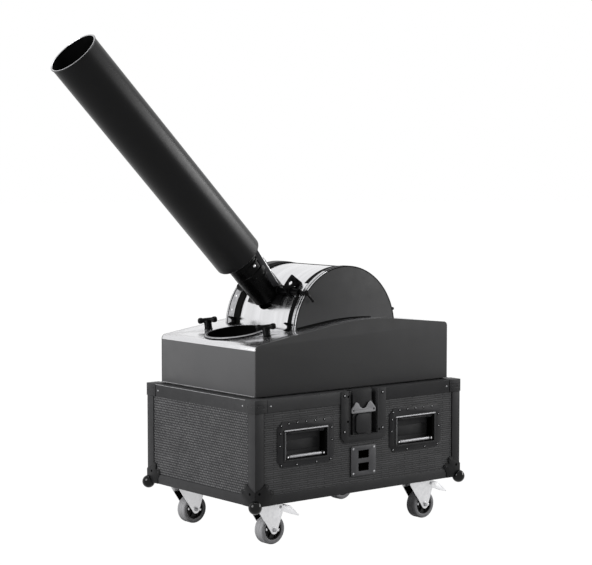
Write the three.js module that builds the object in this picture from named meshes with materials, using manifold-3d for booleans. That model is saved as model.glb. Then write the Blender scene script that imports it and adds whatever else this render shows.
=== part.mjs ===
// Confetti blower in a wheeled flight case, in millimetres, +Z up.
// The origin is the middle of the case's underside, X runs along the long side of the case,
// the barrel points to -X and the face with the socket plate looks to -Y.

import * as THREE from 'three';
import { mergeVertices } from 'three/addons/utils/BufferGeometryUtils.js';
import Module from 'manifold-3d';

const wasm = await Module();
wasm.setup();

// Driving dimensions of the flight case
const caseLength = 700;
const caseWidth = 467;
const caseHeight = 264;
const boardThickness = 9;
const trimThickness = 1.5;
const topRimHeight = 32;
const topRimLeg = 42;
const bottomRimHeight = 25;
const bottomRimLeg = 24;
const cornerAngleLeg = 28;
const cornerCapSize = 38;
const cornerCapThickness = 1.2;
const seatGap = 0.3;
const overrun = 2;

// Driving dimensions of the corner balls
const ballRadius = 17;
const ballInset = 2;
const ballBraceLength = 46;
const ballBraceWidth = 30;
const ballBraceThickness = 1.2;

// Driving dimensions of the recessed handles
const handleSpacing = 374;
const handleDrop = 116;
const handleDishLength = 185;
const handleDishHeight = 115;
const handleDishChamfer = 16;
const dishThickness = 1.2;
const handleRecessLength = 136;
const handleRecessHeight = 73;
const handleRecessDrop = 4.5;
const handleRecessDepth = 22;
const bailRodRadius = 3;
const bailRodInset = 5;
const bailArmThickness = 3;
const bailArmWidth = 8;
const bailGripRadius = 5.5;
const bailSideGap = 2;
const bailGripInset = 9;

// Driving dimensions of the turn latches
const latchShift = 4;
const latchDishLength = 153;
const latchGap = 12;
const latchDishChamfer = 14;
const latchRecessLength = 94;
const latchRecessFloor = 18;
const latchRecessDepth = 24;
const latchBossWidth = 64;
const latchHookBase = 74;
const hookThickness = 2.5;
const hookBaseHalf = 41;
const hookHornHalf = 24;
const hookHornTip = 8;
const hookHeight = 28;
const hookNotchDepth = 17;
const hookNotchHalf = 17;
const hookTailHeight = 22;
const hookTailWidth = 34;
const wingLength = 49;
const wingChamfer = 13;
const wingThickness = 2.5;
const wingPinRadius = 5;
const latchFaceInset = 1;

// Driving dimensions of the socket plate
const socketPlateLength = 84;
const socketPlateHeight = 77;
const socketPlateThickness = 3;
const socketPlateShift = 4;
const socketPlateFloor = 42;
const socketPlateChamfer = 3;
const socketHoleLength = 36;
const socketHoleHeight = 21;
const socketHoleGap = 12;
const socketWellDepth = 20;
const socketWellWall = 3;

// Driving dimensions of the casters
const casterFrontX = 273;
const casterRearX = 247;
const casterY = 168;
const casterHeight = 112.5;
const casterPlateLength = 100;
const casterPlateWidth = 84;
const casterPlateThickness = 3;
const racewayRadius = 27;
const racewayHeight = 6;
const kingpinRadius = 5;
const kingpinHeadRadius = 9;
const kingpinHeadHeight = 3;
const forkTopThickness = 3;
const forkLegThickness = 2.5;
const forkFrontReach = 34;
const forkRearReach = 46;
const forkSkirtDepth = 24;
const forkTipRadius = 11;
const casterTrail = 19.5;
const wheelRadius = 37.5;
const wheelWidth = 32;
const wheelSideGap = 1.5;
const tyreRound = 6;
const hubRimRadius = 24;
const hubRecess = 6;
const hubBossRadius = 9;
const axleRadius = 4;
const pedalReach = 62;
const pedalDrop = 30;
const pedalWidth = 30;
const pedalThickness = 3;
const pedalPinRadius = 3;
const pedalPinDrop = 9;

// Driving dimensions of the housing above the case
const housingLength = 655;
const housingShift = 3.2;
const housingWidth = 406;
const housingLift = 4;
const housingFrontHeight = 127.56;
const sheetThickness = 2.5;
const frontCornerRadius = 13.5;
const rampAngle = 8.3;
const fallAngle = 6.05;
const housingRearHeight = 150.5;
const crestRadius = 833;
const rearCornerRadius = 11;
const footInset = 6;
const footWidth = 10;
const footHeight = 16;
const deckDrop = 1.5;

// Driving dimensions of the drum and its cheeks
const drumX = 17;
const drumLift = 144;
const skinRadius = 167;
const skinThickness = 3;
const cheekHalfSpan = 148;
const cheekThickness = 2;
const cheekSkirtDepth = 104;
const sealThickness = 2;
const trimRadialThickness = 3.6;
const nearSealWidth = 19;
const nearTrimWidth = 18;
const farSealWidth = 24;
const farTrimWidth = 32;
const cheekPlateInset = 1.6;
const runGap = 0.8;
const stubRadius = 14;
const stubCollarRadius = 26;
const spokeWidth = 30;
const spokeSpread = 112;
const skinBottomHalfOpening = 50;
const cheekKnobRadius = 4;
const cheekKnobHeight = 7;
const cheekKnobAngle = 16.6;
const footLugLength = 13;
const footLugHeight = 22;

// Driving dimensions of the barrel and the saddle that carries it
const elevation = 45.6;
const barrelRadius = 66;
const barrelWall = 2.5;
const barrelLength = 708;
const barrelBaseReach = 307;
const barrelOffset = 33.6;
const barrelBasePlate = 5;
const barrelChamfer = 6;
const muzzleLipRadius = 1.6;
const couplingRadius = 44;
const couplingWall = 4;
const collarRadius = 52;
const collarThickness = 11;
const clampRadius = 49;
const clampThickness = 14;
const clampLugWidth = 12;
const clampLugHeight = 16;
const clampLugReach = 13;
const saddlePadThickness = 5;
const saddlePadHalfWidth = 58;
const crossBarRadius = 10;
const crossBarAngle = -8;
const crossBarLift = 9;
const earThickness = 6;
const earHeight = 38;
const earSetting = 95;
const earSlotLength = 15;
const earSlotWidth = 8;
const shoeWidth = 22;
const shoeThickness = 1.5;
const strutWidth = 24;
const strutThickness = 7;
const leverRadius = 3;
const leverBossRadius = 7;
const leverBossWidth = 8;
const leverLength = 33;
const leverPinRadius = 4;

// Driving dimensions of the filling port, the hopper and the screws beside it
const portSetback = 90.3;
const portRadius = 71;
const portRingWidth = 7.5;
const portRingHeight = 5;
const hopperWall = 2;
const hopperNeck = 16;
const hopperDepth = 98;
const throatRadius = 27;
const chuteHalf = 32;
const chuteWall = 2;
const chuteCollar = 7;
const chuteDrop = 18;
const chuteSlope = 0.37;
const chuteEntry = 8;
const portScrewSpacing = 250;
const portScrewSetback = 7;
const portScrewHeight = 24;
const portScrewRadius = 8.5;
const portScrewFlare = 10.5;
const portScrewBarLength = 36;
const portScrewBarRadius = 4.6;
const portScrewKnobRadius = 6;
const portScrewThread = 4;
const portScrewThreadLength = 12;

// Driving dimensions of the fan
const fanX = 112;
const fanHeight = 116;
const fanWidth = 112;
const fanWall = 3;
const scrollStartRadius = 84;
const scrollGrowth = 26;
const ductLength = 82;
const ductTopGap = 6;
const fanFootLength = 120;
const fanInletRadius = 52;
const impellerRadius = 76;
const impellerWidth = 88;
const bladeCount = 14;
const bladeDepth = 15;
const bladeThickness = 2;
const impellerDisc = 3;
const motorRadius = 44;
const motorLength = 76;
const motorShaftRadius = 6;
const motorHubRadius = 14;
const motorRibHeight = 3;
const motorRibCount = 10;
const motorRibWidth = 3;

const arcSteps = 24;
const skinSteps = 36;
const bowlSides = 60;
const roundSides = 24;
const mediumSides = 16;
const smallSides = 10;
const fewSides = 8;
const wheelSides = 22;

// Solids: every helper gives a closed solid that can be joined and cut

function signedVolume(position, index) {
  const a = new THREE.Vector3();
  const b = new THREE.Vector3();
  const c = new THREE.Vector3();
  let sum = 0;
  for (let i = 0; i < index.length; i += 3) {
    a.fromBufferAttribute(position, index[i]);
    b.fromBufferAttribute(position, index[i + 1]);
    c.fromBufferAttribute(position, index[i + 2]);
    sum += a.dot(b.cross(c));
  }
  return sum;
}

function toSolid(geometry) {
  geometry.deleteAttribute('normal');
  geometry.deleteAttribute('uv');
  const welded = mergeVertices(geometry);
  const source = Array.from(welded.index.array);
  const faces = [];
  const flipped = signedVolume(welded.attributes.position, source) < 0;
  for (let i = 0; i < source.length; i += 3) {
    const [a, b, c] = source.slice(i, i + 3);
    if (a === b || b === c || c === a) continue;
    faces.push(...(flipped ? [a, c, b] : [a, b, c]));
  }
  return new wasm.Manifold(new wasm.Mesh({
    numProp: 3,
    vertProperties: welded.attributes.position.array,
    triVerts: new Uint32Array(faces),
  }));
}

function toGeometry(solid) {
  const mesh = solid.getMesh();
  const geometry = new THREE.BufferGeometry();
  geometry.setAttribute('position', new THREE.BufferAttribute(mesh.vertProperties, 3));
  geometry.setIndex(new THREE.BufferAttribute(mesh.triVerts, 1));
  geometry.computeVertexNormals();
  return geometry;
}

const join = (first, ...others) => others.reduce((sum, solid) => sum.add(solid), first);
const cut = (first, ...others) => others.reduce((rest, solid) => rest.subtract(solid), first);

function block(x0, x1, y0, y1, z0, z1) {
  const geometry = new THREE.BoxGeometry(x1 - x0, y1 - y0, z1 - z0);
  return toSolid(geometry.translate((x0 + x1) / 2, (y0 + y1) / 2, (z0 + z1) / 2));
}

// A flat outline pushed along one axis. The outline's two coordinates are the two other axes.
const planes = {
  x: [new THREE.Vector3(0, 1, 0), new THREE.Vector3(0, 0, 1), new THREE.Vector3(1, 0, 0)],
  y: [new THREE.Vector3(1, 0, 0), new THREE.Vector3(0, 0, 1), new THREE.Vector3(0, -1, 0)],
  z: [new THREE.Vector3(1, 0, 0), new THREE.Vector3(0, 1, 0), new THREE.Vector3(0, 0, 1)],
};

function prism(axis, outline, from, to) {
  const shape = outline instanceof THREE.Shape ? outline : new THREE.Shape(outline);
  const geometry = new THREE.ExtrudeGeometry(shape, {
    depth: to - from, bevelEnabled: false, curveSegments: smallSides,
  });
  geometry.applyMatrix4(new THREE.Matrix4().makeBasis(...planes[axis]));
  const start = axis === 'y' ? to : from;
  return toSolid(geometry.translate(
    axis === 'x' ? start : 0, axis === 'y' ? start : 0, axis === 'z' ? start : 0,
  ));
}

// A round bar along one axis, with its centre line at (u, v) in the two other axes
function rod(axis, u, v, radius, from, to, sides = mediumSides) {
  const geometry = new THREE.CylinderGeometry(radius, radius, to - from, sides);
  if (axis === 'x') geometry.rotateZ(Math.PI / 2).translate((from + to) / 2, u, v);
  if (axis === 'y') geometry.translate(u, (from + to) / 2, v);
  if (axis === 'z') geometry.rotateX(Math.PI / 2).translate(u, v, (from + to) / 2);
  return toSolid(geometry);
}

// A turned body: the profile holds pairs of radius and place along the axis
function turned(axis, profile, sides = roundSides) {
  const points = profile.map(([radius, along]) => new THREE.Vector2(radius, along));
  const geometry = new THREE.LatheGeometry(points, sides);
  if (axis === 'x') geometry.rotateZ(-Math.PI / 2);
  if (axis === 'z') geometry.rotateX(Math.PI / 2);
  return toSolid(geometry);
}

function chamferedRectangle(x0, x1, z0, z1, chamfer) {
  return [
    [x0 + chamfer, z0], [x1 - chamfer, z0], [x1, z0 + chamfer], [x1, z1 - chamfer],
    [x1 - chamfer, z1], [x0 + chamfer, z1], [x0, z1 - chamfer], [x0, z0 + chamfer],
  ].map(([x, z]) => new THREE.Vector2(x, z));
}

const radians = THREE.MathUtils.degToRad;

// Points on a circle round (cx, cz), with angles in degrees counted from +X towards +Z
function arc(cx, cz, radius, fromAngle, toAngle, steps) {
  return Array.from({ length: steps + 1 }, (_, i) => {
    const angle = radians(fromAngle + ((toAngle - fromAngle) * i) / steps);
    return new THREE.Vector2(cx + radius * Math.cos(angle), cz + radius * Math.sin(angle));
  });
}

// A curved strip between two radii round the origin of the XZ plane, pushed along Y
function curvedStrip(inner, outer, fromAngle, toAngle, y0, y1, steps) {
  const outline = [
    ...arc(0, 0, outer, fromAngle, toAngle, steps),
    ...arc(0, 0, inner, toAngle, fromAngle, steps),
  ];
  return prism('y', outline, y0, y1);
}

function frameRing(halfLength, halfWidth, legX, legY, z0, z1, shift = 0) {
  return cut(
    block(shift - halfLength, shift + halfLength, -halfWidth, halfWidth, z0, z1),
    block(shift - halfLength + legX, shift + halfLength - legX, -halfWidth + legY, halfWidth - legY,
      z0 - overrun, z1 + overrun),
  );
}

// The part, and the finishes of its pieces
const blower = new THREE.Group();

const finish = (color, roughness, metalness) => ({ color, roughness, metalness });
const blackTrim = finish(0x2c2c2d, 0.42, 0.6);
const boardSkin = finish(0x3a3a3b, 0.6, 0);
const blackSteel = finish(0x1c1c1d, 0.4, 0.4);
const greySheet = finish(0x3f3f40, 0.5, 0.3);
const silverSheet = finish(0xd6d6d6, 0.18, 1);
const zinc = finish(0xd2d2d2, 0.35, 0.9);
const greyRubber = finish(0x8a8a8b, 0.7, 0);
const ballSteel = finish(0xb8b8ba, 0.2, 1);
const blackMetal = finish(0x101011, 0.3, 0.2);
const plateGrey = finish(0x5b5b5c, 0.5, 0.5);

function addPiece(parent, name, solid, look) {
  const mesh = new THREE.Mesh(toGeometry(solid), new THREE.MeshStandardMaterial(look));
  mesh.name = name;
  parent.add(mesh);
  return mesh;
}

function group(parent, x, y, z) {
  const holder = new THREE.Group();
  holder.position.set(x, y, z);
  parent.add(holder);
  return holder;
}

// Places shared by the pieces of the case
const halfLength = caseLength / 2;
const halfWidth = caseWidth / 2;
const boardHalfLength = halfLength - trimThickness - seatGap;
const boardHalfWidth = halfWidth - trimThickness - seatGap;
const wallFloor = boardThickness + seatGap;
const wallTop = caseHeight - trimThickness - seatGap;
const handleZ = caseHeight - handleDrop;
const recessTopZ = handleZ - handleRecessDrop + handleRecessHeight / 2;
const recessBottomZ = recessTopZ - handleRecessHeight;
const socketPlateTop = socketPlateFloor + socketPlateHeight;
const latchTop = caseHeight;
const latchFloor = socketPlateTop + latchGap;
const sideNames = [['front', 1], ['rear', -1]];
const endNames = [['left', -1], ['right', 1]];

// Long sides are made for the -Y face and turned half way round for the +Y face
function turnedFor(side) {
  const holder = new THREE.Group();
  if (side < 0) holder.rotation.z = Math.PI;
  blower.add(holder);
  return holder;
}
const sideGroups = { front: turnedFor(1), rear: turnedFor(-1) };

function buildFloor() {
  const rebate = trimThickness + seatGap;
  const lower = block(
    -halfLength + bottomRimLeg + seatGap, halfLength - bottomRimLeg - seatGap,
    -halfWidth + bottomRimLeg + seatGap, halfWidth - bottomRimLeg - seatGap, 0, boardThickness,
  );
  const upper = block(
    -boardHalfLength, boardHalfLength, -boardHalfWidth, boardHalfWidth, rebate, boardThickness,
  );
  addPiece(blower, 'floor_board', join(lower, upper), boardSkin);
}

// The cut-outs in a long board let the backs of the dishes and the socket wells through
function handleCutouts() {
  const half = handleRecessLength / 2 + dishThickness + seatGap;
  return [-1, 1].map((way) => block(
    (way * handleSpacing) / 2 - half, (way * handleSpacing) / 2 + half,
    -halfWidth - overrun, -boardHalfWidth + boardThickness + overrun,
    recessBottomZ - dishThickness - seatGap, recessTopZ + dishThickness + seatGap,
  ));
}

const latchPanHalf = latchRecessLength / 2 + dishThickness;

function latchCutout(top) {
  return block(
    latchShift - latchPanHalf - seatGap, latchShift + latchPanHalf + seatGap,
    -halfWidth - overrun, -halfWidth + latchRecessDepth + dishThickness + seatGap,
    latchFloor + latchRecessFloor - dishThickness - seatGap, top,
  );
}

const socketHoleX0 = socketPlateShift - socketHoleLength / 2;
const socketHoleX1 = socketPlateShift + socketHoleLength / 2;
const socketMiddle = socketPlateFloor + socketPlateHeight / 2;
const socketWellZ0 = socketMiddle - socketHoleGap / 2 - socketHoleHeight - socketWellWall;
const socketWellZ1 = socketMiddle + socketHoleGap / 2 + socketHoleHeight + socketWellWall;

function buildLongBoards() {
  for (const [name] of sideNames) {
    let board = cut(
      block(-boardHalfLength, boardHalfLength, -boardHalfWidth, -boardHalfWidth + boardThickness,
        wallFloor, wallTop),
      ...handleCutouts(),
      latchCutout(caseHeight + overrun),
    );
    if (name === 'front') {
      board = cut(board, block(
        socketHoleX0 - socketWellWall - seatGap, socketHoleX1 + socketWellWall + seatGap,
        -halfWidth - overrun, -boardHalfWidth + boardThickness + overrun,
        socketWellZ0 - seatGap, socketWellZ1 + seatGap,
      ));
    }
    addPiece(sideGroups[name], `${name}_board`, board, boardSkin);
  }
}

function buildEndBoards() {
  const innerHalfWidth = boardHalfWidth - boardThickness - seatGap;
  for (const [name, way] of endNames) {
    const outer = way * boardHalfLength;
    const inner = way * (boardHalfLength - boardThickness);
    addPiece(blower, `${name}_end_board`, block(
      Math.min(outer, inner), Math.max(outer, inner), -innerHalfWidth, innerHalfWidth,
      wallFloor, wallTop,
    ), boardSkin);
  }
}

// The top rim wraps the upper edge of the boards and carries square caps on its corners
function buildTopRim() {
  const skirt = frameRing(halfLength, halfWidth, trimThickness, trimThickness,
    caseHeight - topRimHeight, caseHeight);
  const ledge = frameRing(halfLength, halfWidth, topRimLeg, topRimLeg,
    caseHeight - trimThickness, caseHeight);
  const caps = [];
  for (const wayX of [-1, 1]) {
    for (const wayY of [-1, 1]) {
      const x = [wayX * (halfLength + cornerCapThickness), wayX * (halfLength - cornerCapSize)];
      const y = [wayY * (halfWidth + cornerCapThickness), wayY * (halfWidth - cornerCapSize)];
      const cap = block(Math.min(...x), Math.max(...x), Math.min(...y), Math.max(...y),
        caseHeight - topRimHeight, caseHeight + cornerCapThickness);
      caps.push(cap);
    }
  }
  const inside = block(-halfLength + trimThickness, halfLength - trimThickness,
    -halfWidth + trimThickness, halfWidth - trimThickness,
    0, caseHeight - trimThickness);
  let rim = cut(join(skirt, ledge, ...caps), inside);
  const notch = latchCutout(caseHeight + cornerCapThickness + overrun);
  rim = cut(rim, notch, notch.rotate([0, 0, 180]));
  addPiece(blower, 'top_rim', rim, blackTrim);
}

function buildBottomRim() {
  const skirt = frameRing(halfLength, halfWidth, trimThickness, trimThickness, 0, bottomRimHeight);
  const ledge = frameRing(halfLength, halfWidth, bottomRimLeg, bottomRimLeg, 0, trimThickness);
  addPiece(blower, 'bottom_rim', join(skirt, ledge), blackTrim);
}

function buildCornerAngles() {
  for (const [endName, wayX] of endNames) {
    for (const [sideName, side] of sideNames) {
      const wayY = -side;
      const x = [wayX * halfLength, wayX * (halfLength - cornerAngleLeg)];
      const y = [wayY * halfWidth, wayY * (halfWidth - cornerAngleLeg)];
      const outer = block(Math.min(...x), Math.max(...x), Math.min(...y), Math.max(...y),
        bottomRimHeight + seatGap, caseHeight - topRimHeight - seatGap);
      const reach = halfLength - trimThickness;
      const reachY = halfWidth - trimThickness;
      const hollow = block(-reach, reach, -reachY, reachY, 0, caseHeight);
      addPiece(blower, `${sideName}_${endName}_corner_angle`, cut(outer, hollow), blackTrim);
    }
  }
}

// A corner ball stands on three short braces that lie on the faces of the case
function buildCornerBalls() {
  for (const [endName, wayX] of endNames) {
    for (const [sideName, side] of sideNames) {
      const wayY = -side;
      const cornerX = halfLength + seatGap;
      const cornerY = halfWidth + seatGap;
      const ball = toSolid(new THREE.SphereGeometry(ballRadius, mediumSides, fewSides)
        .rotateX(Math.PI / 2).translate(cornerX - ballInset, cornerY - ballInset, 0));
      const long = ballBraceLength;
      const wide = ballBraceWidth;
      const onSide = (from, to) => prism('y', [
        [cornerX, 0], [cornerX, long], [cornerX - wide / 2, long], [cornerX - wide, wide],
        [cornerX - long, wide / 2], [cornerX - long, 0],
      ].map(([x, z]) => new THREE.Vector2(x, z)), from, to);
      const onEnd = (from, to) => prism('x', [
        [cornerY, 0], [cornerY, long], [cornerY - wide / 2, long], [cornerY - wide, wide],
        [cornerY - long, wide / 2], [cornerY - long, 0],
      ].map(([y, z]) => new THREE.Vector2(y, z)), from, to);
      const skin = ballBraceThickness;
      const corner = block(cornerX, cornerX + skin, cornerY, cornerY + skin, 0, long);
      const caseBody = block(0, cornerX, 0, cornerY, -seatGap, long * 2);
      const whole = cut(
        join(ball, onSide(cornerY, cornerY + skin), onEnd(cornerX, cornerX + skin), corner),
        caseBody,
      );
      const placed = toGeometry(whole);
      placed.scale(wayX, wayY, 1);
      addPiece(blower, `${sideName}_${endName}_corner_ball`, toSolid(placed), ballSteel);
    }
  }
}

// Handles: a pressed dish, and a bail that swings on a rod across the top of the recess
function buildHandles() {
  const face = -boardHalfWidth - seatGap;
  const front = face - dishThickness;
  const back = front + handleRecessDepth;
  for (const [sideName] of sideNames) {
    for (const [endName, way] of endNames) {
      const x = (way * handleSpacing) / 2;
      const half = handleRecessLength / 2;
      const flange = prism('y', chamferedRectangle(
        x - handleDishLength / 2, x + handleDishLength / 2,
        handleZ - handleDishHeight / 2, handleZ + handleDishHeight / 2,
        handleDishChamfer,
      ), front, face);
      const pan = block(x - half - dishThickness, x + half + dishThickness, front, back,
        recessBottomZ - dishThickness, recessTopZ + dishThickness);
      const recess = block(x - half, x + half, front - overrun, back - dishThickness,
        recessBottomZ, recessTopZ);
      const rodY = front + bailRodInset;
      const rodZ = recessTopZ - bailRodRadius - bailSideGap;
      const rodHole = rod('x', rodY, rodZ, bailRodRadius + seatGap,
        x - half - dishThickness - overrun, x + half + dishThickness + overrun);
      const dish = cut(join(flange, pan), recess, rodHole);
      const parent = sideGroups[sideName];
      addPiece(parent, `${sideName}_${endName}_handle_dish`, dish, blackSteel);
      addBail(parent, `${sideName}_${endName}_handle_bail`, x, rodY, rodZ, half);
    }
  }
}

function addBail(parent, name, x, rodY, rodZ, half) {
  const hinge = rod('x', rodY, rodZ, bailRodRadius, x - half - dishThickness, x + half + dishThickness,
    smallSides);
  const gripZ = recessBottomZ + bailGripRadius + bailSideGap;
  const grip = rod('x', rodY, gripZ, bailGripRadius, x - half + bailGripInset, x + half - bailGripInset,
    smallSides);
  const arms = [-1, 1].map((way) => {
    const outer = x + way * (half - bailSideGap);
    const inner = outer - way * (bailArmThickness + bailGripInset);
    const plate = block(
      Math.min(outer, outer - way * bailArmThickness), Math.max(outer, outer - way * bailArmThickness),
      rodY - bailArmWidth / 2, rodY + bailArmWidth / 2, gripZ - bailGripRadius, rodZ,
    );
    const foot = block(Math.min(outer, inner), Math.max(outer, inner),
      rodY - bailArmWidth / 2, rodY + bailArmWidth / 2, gripZ - bailGripRadius, gripZ);
    return join(plate, foot);
  });
  addPiece(parent, name, join(hinge, grip, ...arms), zinc);
}

// Turn latches: a dish that opens at the top, a hook that rises, and the wing that drives it
function buildLatches() {
  const face = -halfWidth - seatGap;
  const front = face - dishThickness;
  const recessBack = -halfWidth + latchRecessDepth;
  const recessFloor = latchFloor + latchRecessFloor;
  const hookBase = latchFloor + latchHookBase;
  const wingZ = (recessFloor + hookBase) / 2;
  const wingFront = front + latchFaceInset;
  const wingBack = wingFront + wingThickness;
  const tailFront = wingBack + seatGap;
  const tailBack = tailFront + hookThickness;
  const bossFront = tailBack + seatGap;
  const x0 = latchShift - latchDishLength / 2;
  const x1 = latchShift + latchDishLength / 2;
  for (const [sideName] of sideNames) {
    const parent = sideGroups[sideName];
    const flange = prism('y', [
      [x0, latchTop], [x0, latchFloor + latchDishChamfer], [x0 + latchDishChamfer, latchFloor],
      [x1 - latchDishChamfer, latchFloor], [x1, latchFloor + latchDishChamfer], [x1, latchTop],
    ].map(([x, z]) => new THREE.Vector2(x, z)), front, face);
    const pan = block(latchShift - latchPanHalf, latchShift + latchPanHalf,
      front, recessBack + dishThickness, recessFloor - dishThickness, latchTop);
    const recess = block(latchShift - latchRecessLength / 2, latchShift + latchRecessLength / 2,
      front - overrun, recessBack, recessFloor, latchTop + overrun);
    const boss = block(latchShift - latchBossWidth / 2, latchShift + latchBossWidth / 2,
      bossFront, recessBack + dishThickness / 2, recessFloor - dishThickness / 2, latchTop);
    const pinHole = rod('y', latchShift, wingZ, wingPinRadius + seatGap, front - overrun, recessBack);
    const dish = cut(join(cut(join(flange, pan), recess), boss), pinHole);
    addPiece(parent, `${sideName}_latch_dish`, dish, blackSteel);
    addHook(parent, `${sideName}_latch_hook`, front, tailFront, tailBack, hookBase, wingZ);
    const halfWing = wingLength / 2;
    const wing = join(
      prism('y', chamferedRectangle(latchShift - halfWing, latchShift + halfWing,
        wingZ - halfWing, wingZ + halfWing, wingChamfer), wingFront, wingBack),
      rod('y', latchShift, wingZ, wingPinRadius, wingFront, recessBack - seatGap, smallSides),
    );
    addPiece(parent, `${sideName}_latch_wing`, wing, blackSteel);
  }
}

// The hook has two horns with a round notch between them, and a tail that slides on the boss
function addHook(parent, name, front, tailFront, tailBack, base, wingZ) {
  const hornTop = base + hookHeight;
  const shoulder = hornTop - hookNotchDepth;
  const x = (offset) => latchShift + offset;
  const horns = [
    [-hookBaseHalf, base], [hookBaseHalf, base], [hookBaseHalf, shoulder],
    [hookHornHalf + hookHornTip / 2, hornTop], [hookHornHalf - hookHornTip / 2, hornTop],
  ].map(([offset, z]) => new THREE.Vector2(x(offset), z));
  const notch = arc(latchShift, hornTop, hookNotchHalf, 0, -180, smallSides);
  const rest = [
    [-hookHornHalf + hookHornTip / 2, hornTop], [-hookHornHalf - hookHornTip / 2, hornTop],
    [-hookBaseHalf, shoulder],
  ].map(([offset, z]) => new THREE.Vector2(x(offset), z));
  const plate = prism('y', [...horns, ...notch, ...rest], front, tailBack);
  const tail = block(x(-hookTailWidth / 2), x(hookTailWidth / 2), tailFront, tailBack,
    base - hookTailHeight, base + hookThickness);
  const clearance = rod('y', latchShift, wingZ, wingPinRadius + seatGap,
    front - overrun, tailBack + overrun, smallSides);
  addPiece(parent, name, cut(join(plate, tail), clearance), plateGrey);
}

function buildSocketPlate() {
  const face = -boardHalfWidth - seatGap;
  const front = face - socketPlateThickness;
  const x0 = socketPlateShift - socketPlateLength / 2;
  const plate = prism('y', chamferedRectangle(x0, x0 + socketPlateLength,
    socketPlateFloor, socketPlateTop, socketPlateChamfer), front, face);
  const wellBlock = block(socketHoleX0 - socketWellWall, socketHoleX1 + socketWellWall,
    front, front + socketWellDepth + socketWellWall, socketWellZ0, socketWellZ1);
  const holes = [-1, 1].map((way) => {
    const near = socketMiddle + (way * socketHoleGap) / 2;
    const far = near + way * socketHoleHeight;
    return block(socketHoleX0, socketHoleX1, front - overrun, front + socketWellDepth,
      Math.min(near, far), Math.max(near, far));
  });
  addPiece(sideGroups.front, 'socket_plate', cut(join(plate, wellBlock), ...holes), plateGrey);
}

// Casters: a top plate with its kingpin, a swivelling fork, a wheel, and a brake pedal
const axleDrop = casterHeight - wheelRadius;
const forkTop = -seatGap - casterPlateThickness - racewayHeight - seatGap;
const forkInner = wheelWidth / 2 + wheelSideGap;
const forkOuter = forkInner + forkLegThickness;
const pedalPinZ = forkTop - pedalPinDrop;
const pedalPinX = forkRearReach - pedalPinRadius * 2;

function casterPlate() {
  const plate = block(-casterPlateLength / 2, casterPlateLength / 2,
    -casterPlateWidth / 2, casterPlateWidth / 2, -seatGap - casterPlateThickness, -seatGap);
  const raceway = rod('z', 0, 0, racewayRadius, forkTop + seatGap, -seatGap - casterPlateThickness / 2);
  const pinFoot = forkTop - forkTopThickness - seatGap;
  const pin = rod('z', 0, 0, kingpinRadius, pinFoot - kingpinHeadHeight, forkTop + seatGap * 2, smallSides);
  const head = rod('z', 0, 0, kingpinHeadRadius, pinFoot - kingpinHeadHeight, pinFoot, smallSides);
  return join(plate, raceway, pin, head);
}

function casterFork(braked) {
  const top = prism('z', [
    [-forkFrontReach, -forkInner], [-forkFrontReach, forkInner],
    [forkRearReach, forkInner], [forkRearReach, -forkInner],
  ].map(([x, y]) => new THREE.Vector2(x, y)), forkTop - forkTopThickness, forkTop);
  const disc = rod('z', 0, 0, racewayRadius + forkLegThickness, forkTop - forkTopThickness, forkTop);
  const pinHole = rod('z', 0, 0, kingpinRadius + seatGap, forkTop - forkTopThickness - overrun,
    forkTop + overrun, smallSides);
  const outline = [
    new THREE.Vector2(-forkFrontReach, forkTop),
    new THREE.Vector2(-forkFrontReach, forkTop - forkTopThickness * 2),
    ...arc(casterTrail, -axleDrop, forkTipRadius, 215, 350, smallSides),
    new THREE.Vector2(forkRearReach, forkTop - forkSkirtDepth),
    new THREE.Vector2(forkRearReach, forkTop),
  ];
  const legs = [-1, 1].map((way) => prism('y', outline,
    way < 0 ? -forkOuter : forkInner, way < 0 ? -forkInner : forkOuter));
  const axle = rod('y', casterTrail, -axleDrop, axleRadius, -forkOuter, forkOuter, smallSides);
  let fork = cut(join(top, disc, ...legs, axle), pinHole);
  if (braked) {
    const pinHoles = rod('y', pedalPinX, pedalPinZ, pedalPinRadius + seatGap,
      -forkOuter - overrun, forkOuter + overrun, smallSides);
    fork = cut(fork, pinHoles);
  }
  return fork;
}

function casterWheel() {
  const half = wheelWidth / 2;
  const bore = axleRadius + seatGap;
  const profile = [
    [bore, half], [hubBossRadius, half], [hubBossRadius, half - hubRecess],
    [hubRimRadius, half - hubRecess], [hubRimRadius, half],
    [wheelRadius - tyreRound / 2, half], [wheelRadius, half - tyreRound],
  ];
  const mirrored = profile.map(([radius, along]) => [radius, -along]).reverse();
  const wheel = turned('y', [...profile, ...mirrored, profile[0]], wheelSides);
  return wheel.translate([casterTrail, 0, -axleDrop]);
}

function brakePedal() {
  const pin = rod('y', pedalPinX, pedalPinZ, pedalPinRadius, -forkOuter, forkOuter, smallSides);
  const tipX = forkRearReach + pedalReach;
  const kneeX = forkRearReach + pedalReach / 2;
  const tread = prism('y', [
    [pedalPinX, pedalPinZ + pedalThickness / 2],
    [forkRearReach + overrun, pedalPinZ + pedalThickness],
    [kneeX, pedalPinZ - pedalDrop / 8 + pedalThickness / 2],
    [tipX, pedalPinZ - pedalDrop], [tipX - pedalThickness, pedalPinZ - pedalDrop - pedalThickness],
    [kneeX, pedalPinZ - pedalDrop / 8 - pedalThickness],
    [pedalPinX, pedalPinZ - pedalThickness / 2],
  ].map(([x, z]) => new THREE.Vector2(x, z)), -pedalWidth / 2, pedalWidth / 2);
  return join(pin, tread);
}

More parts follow.
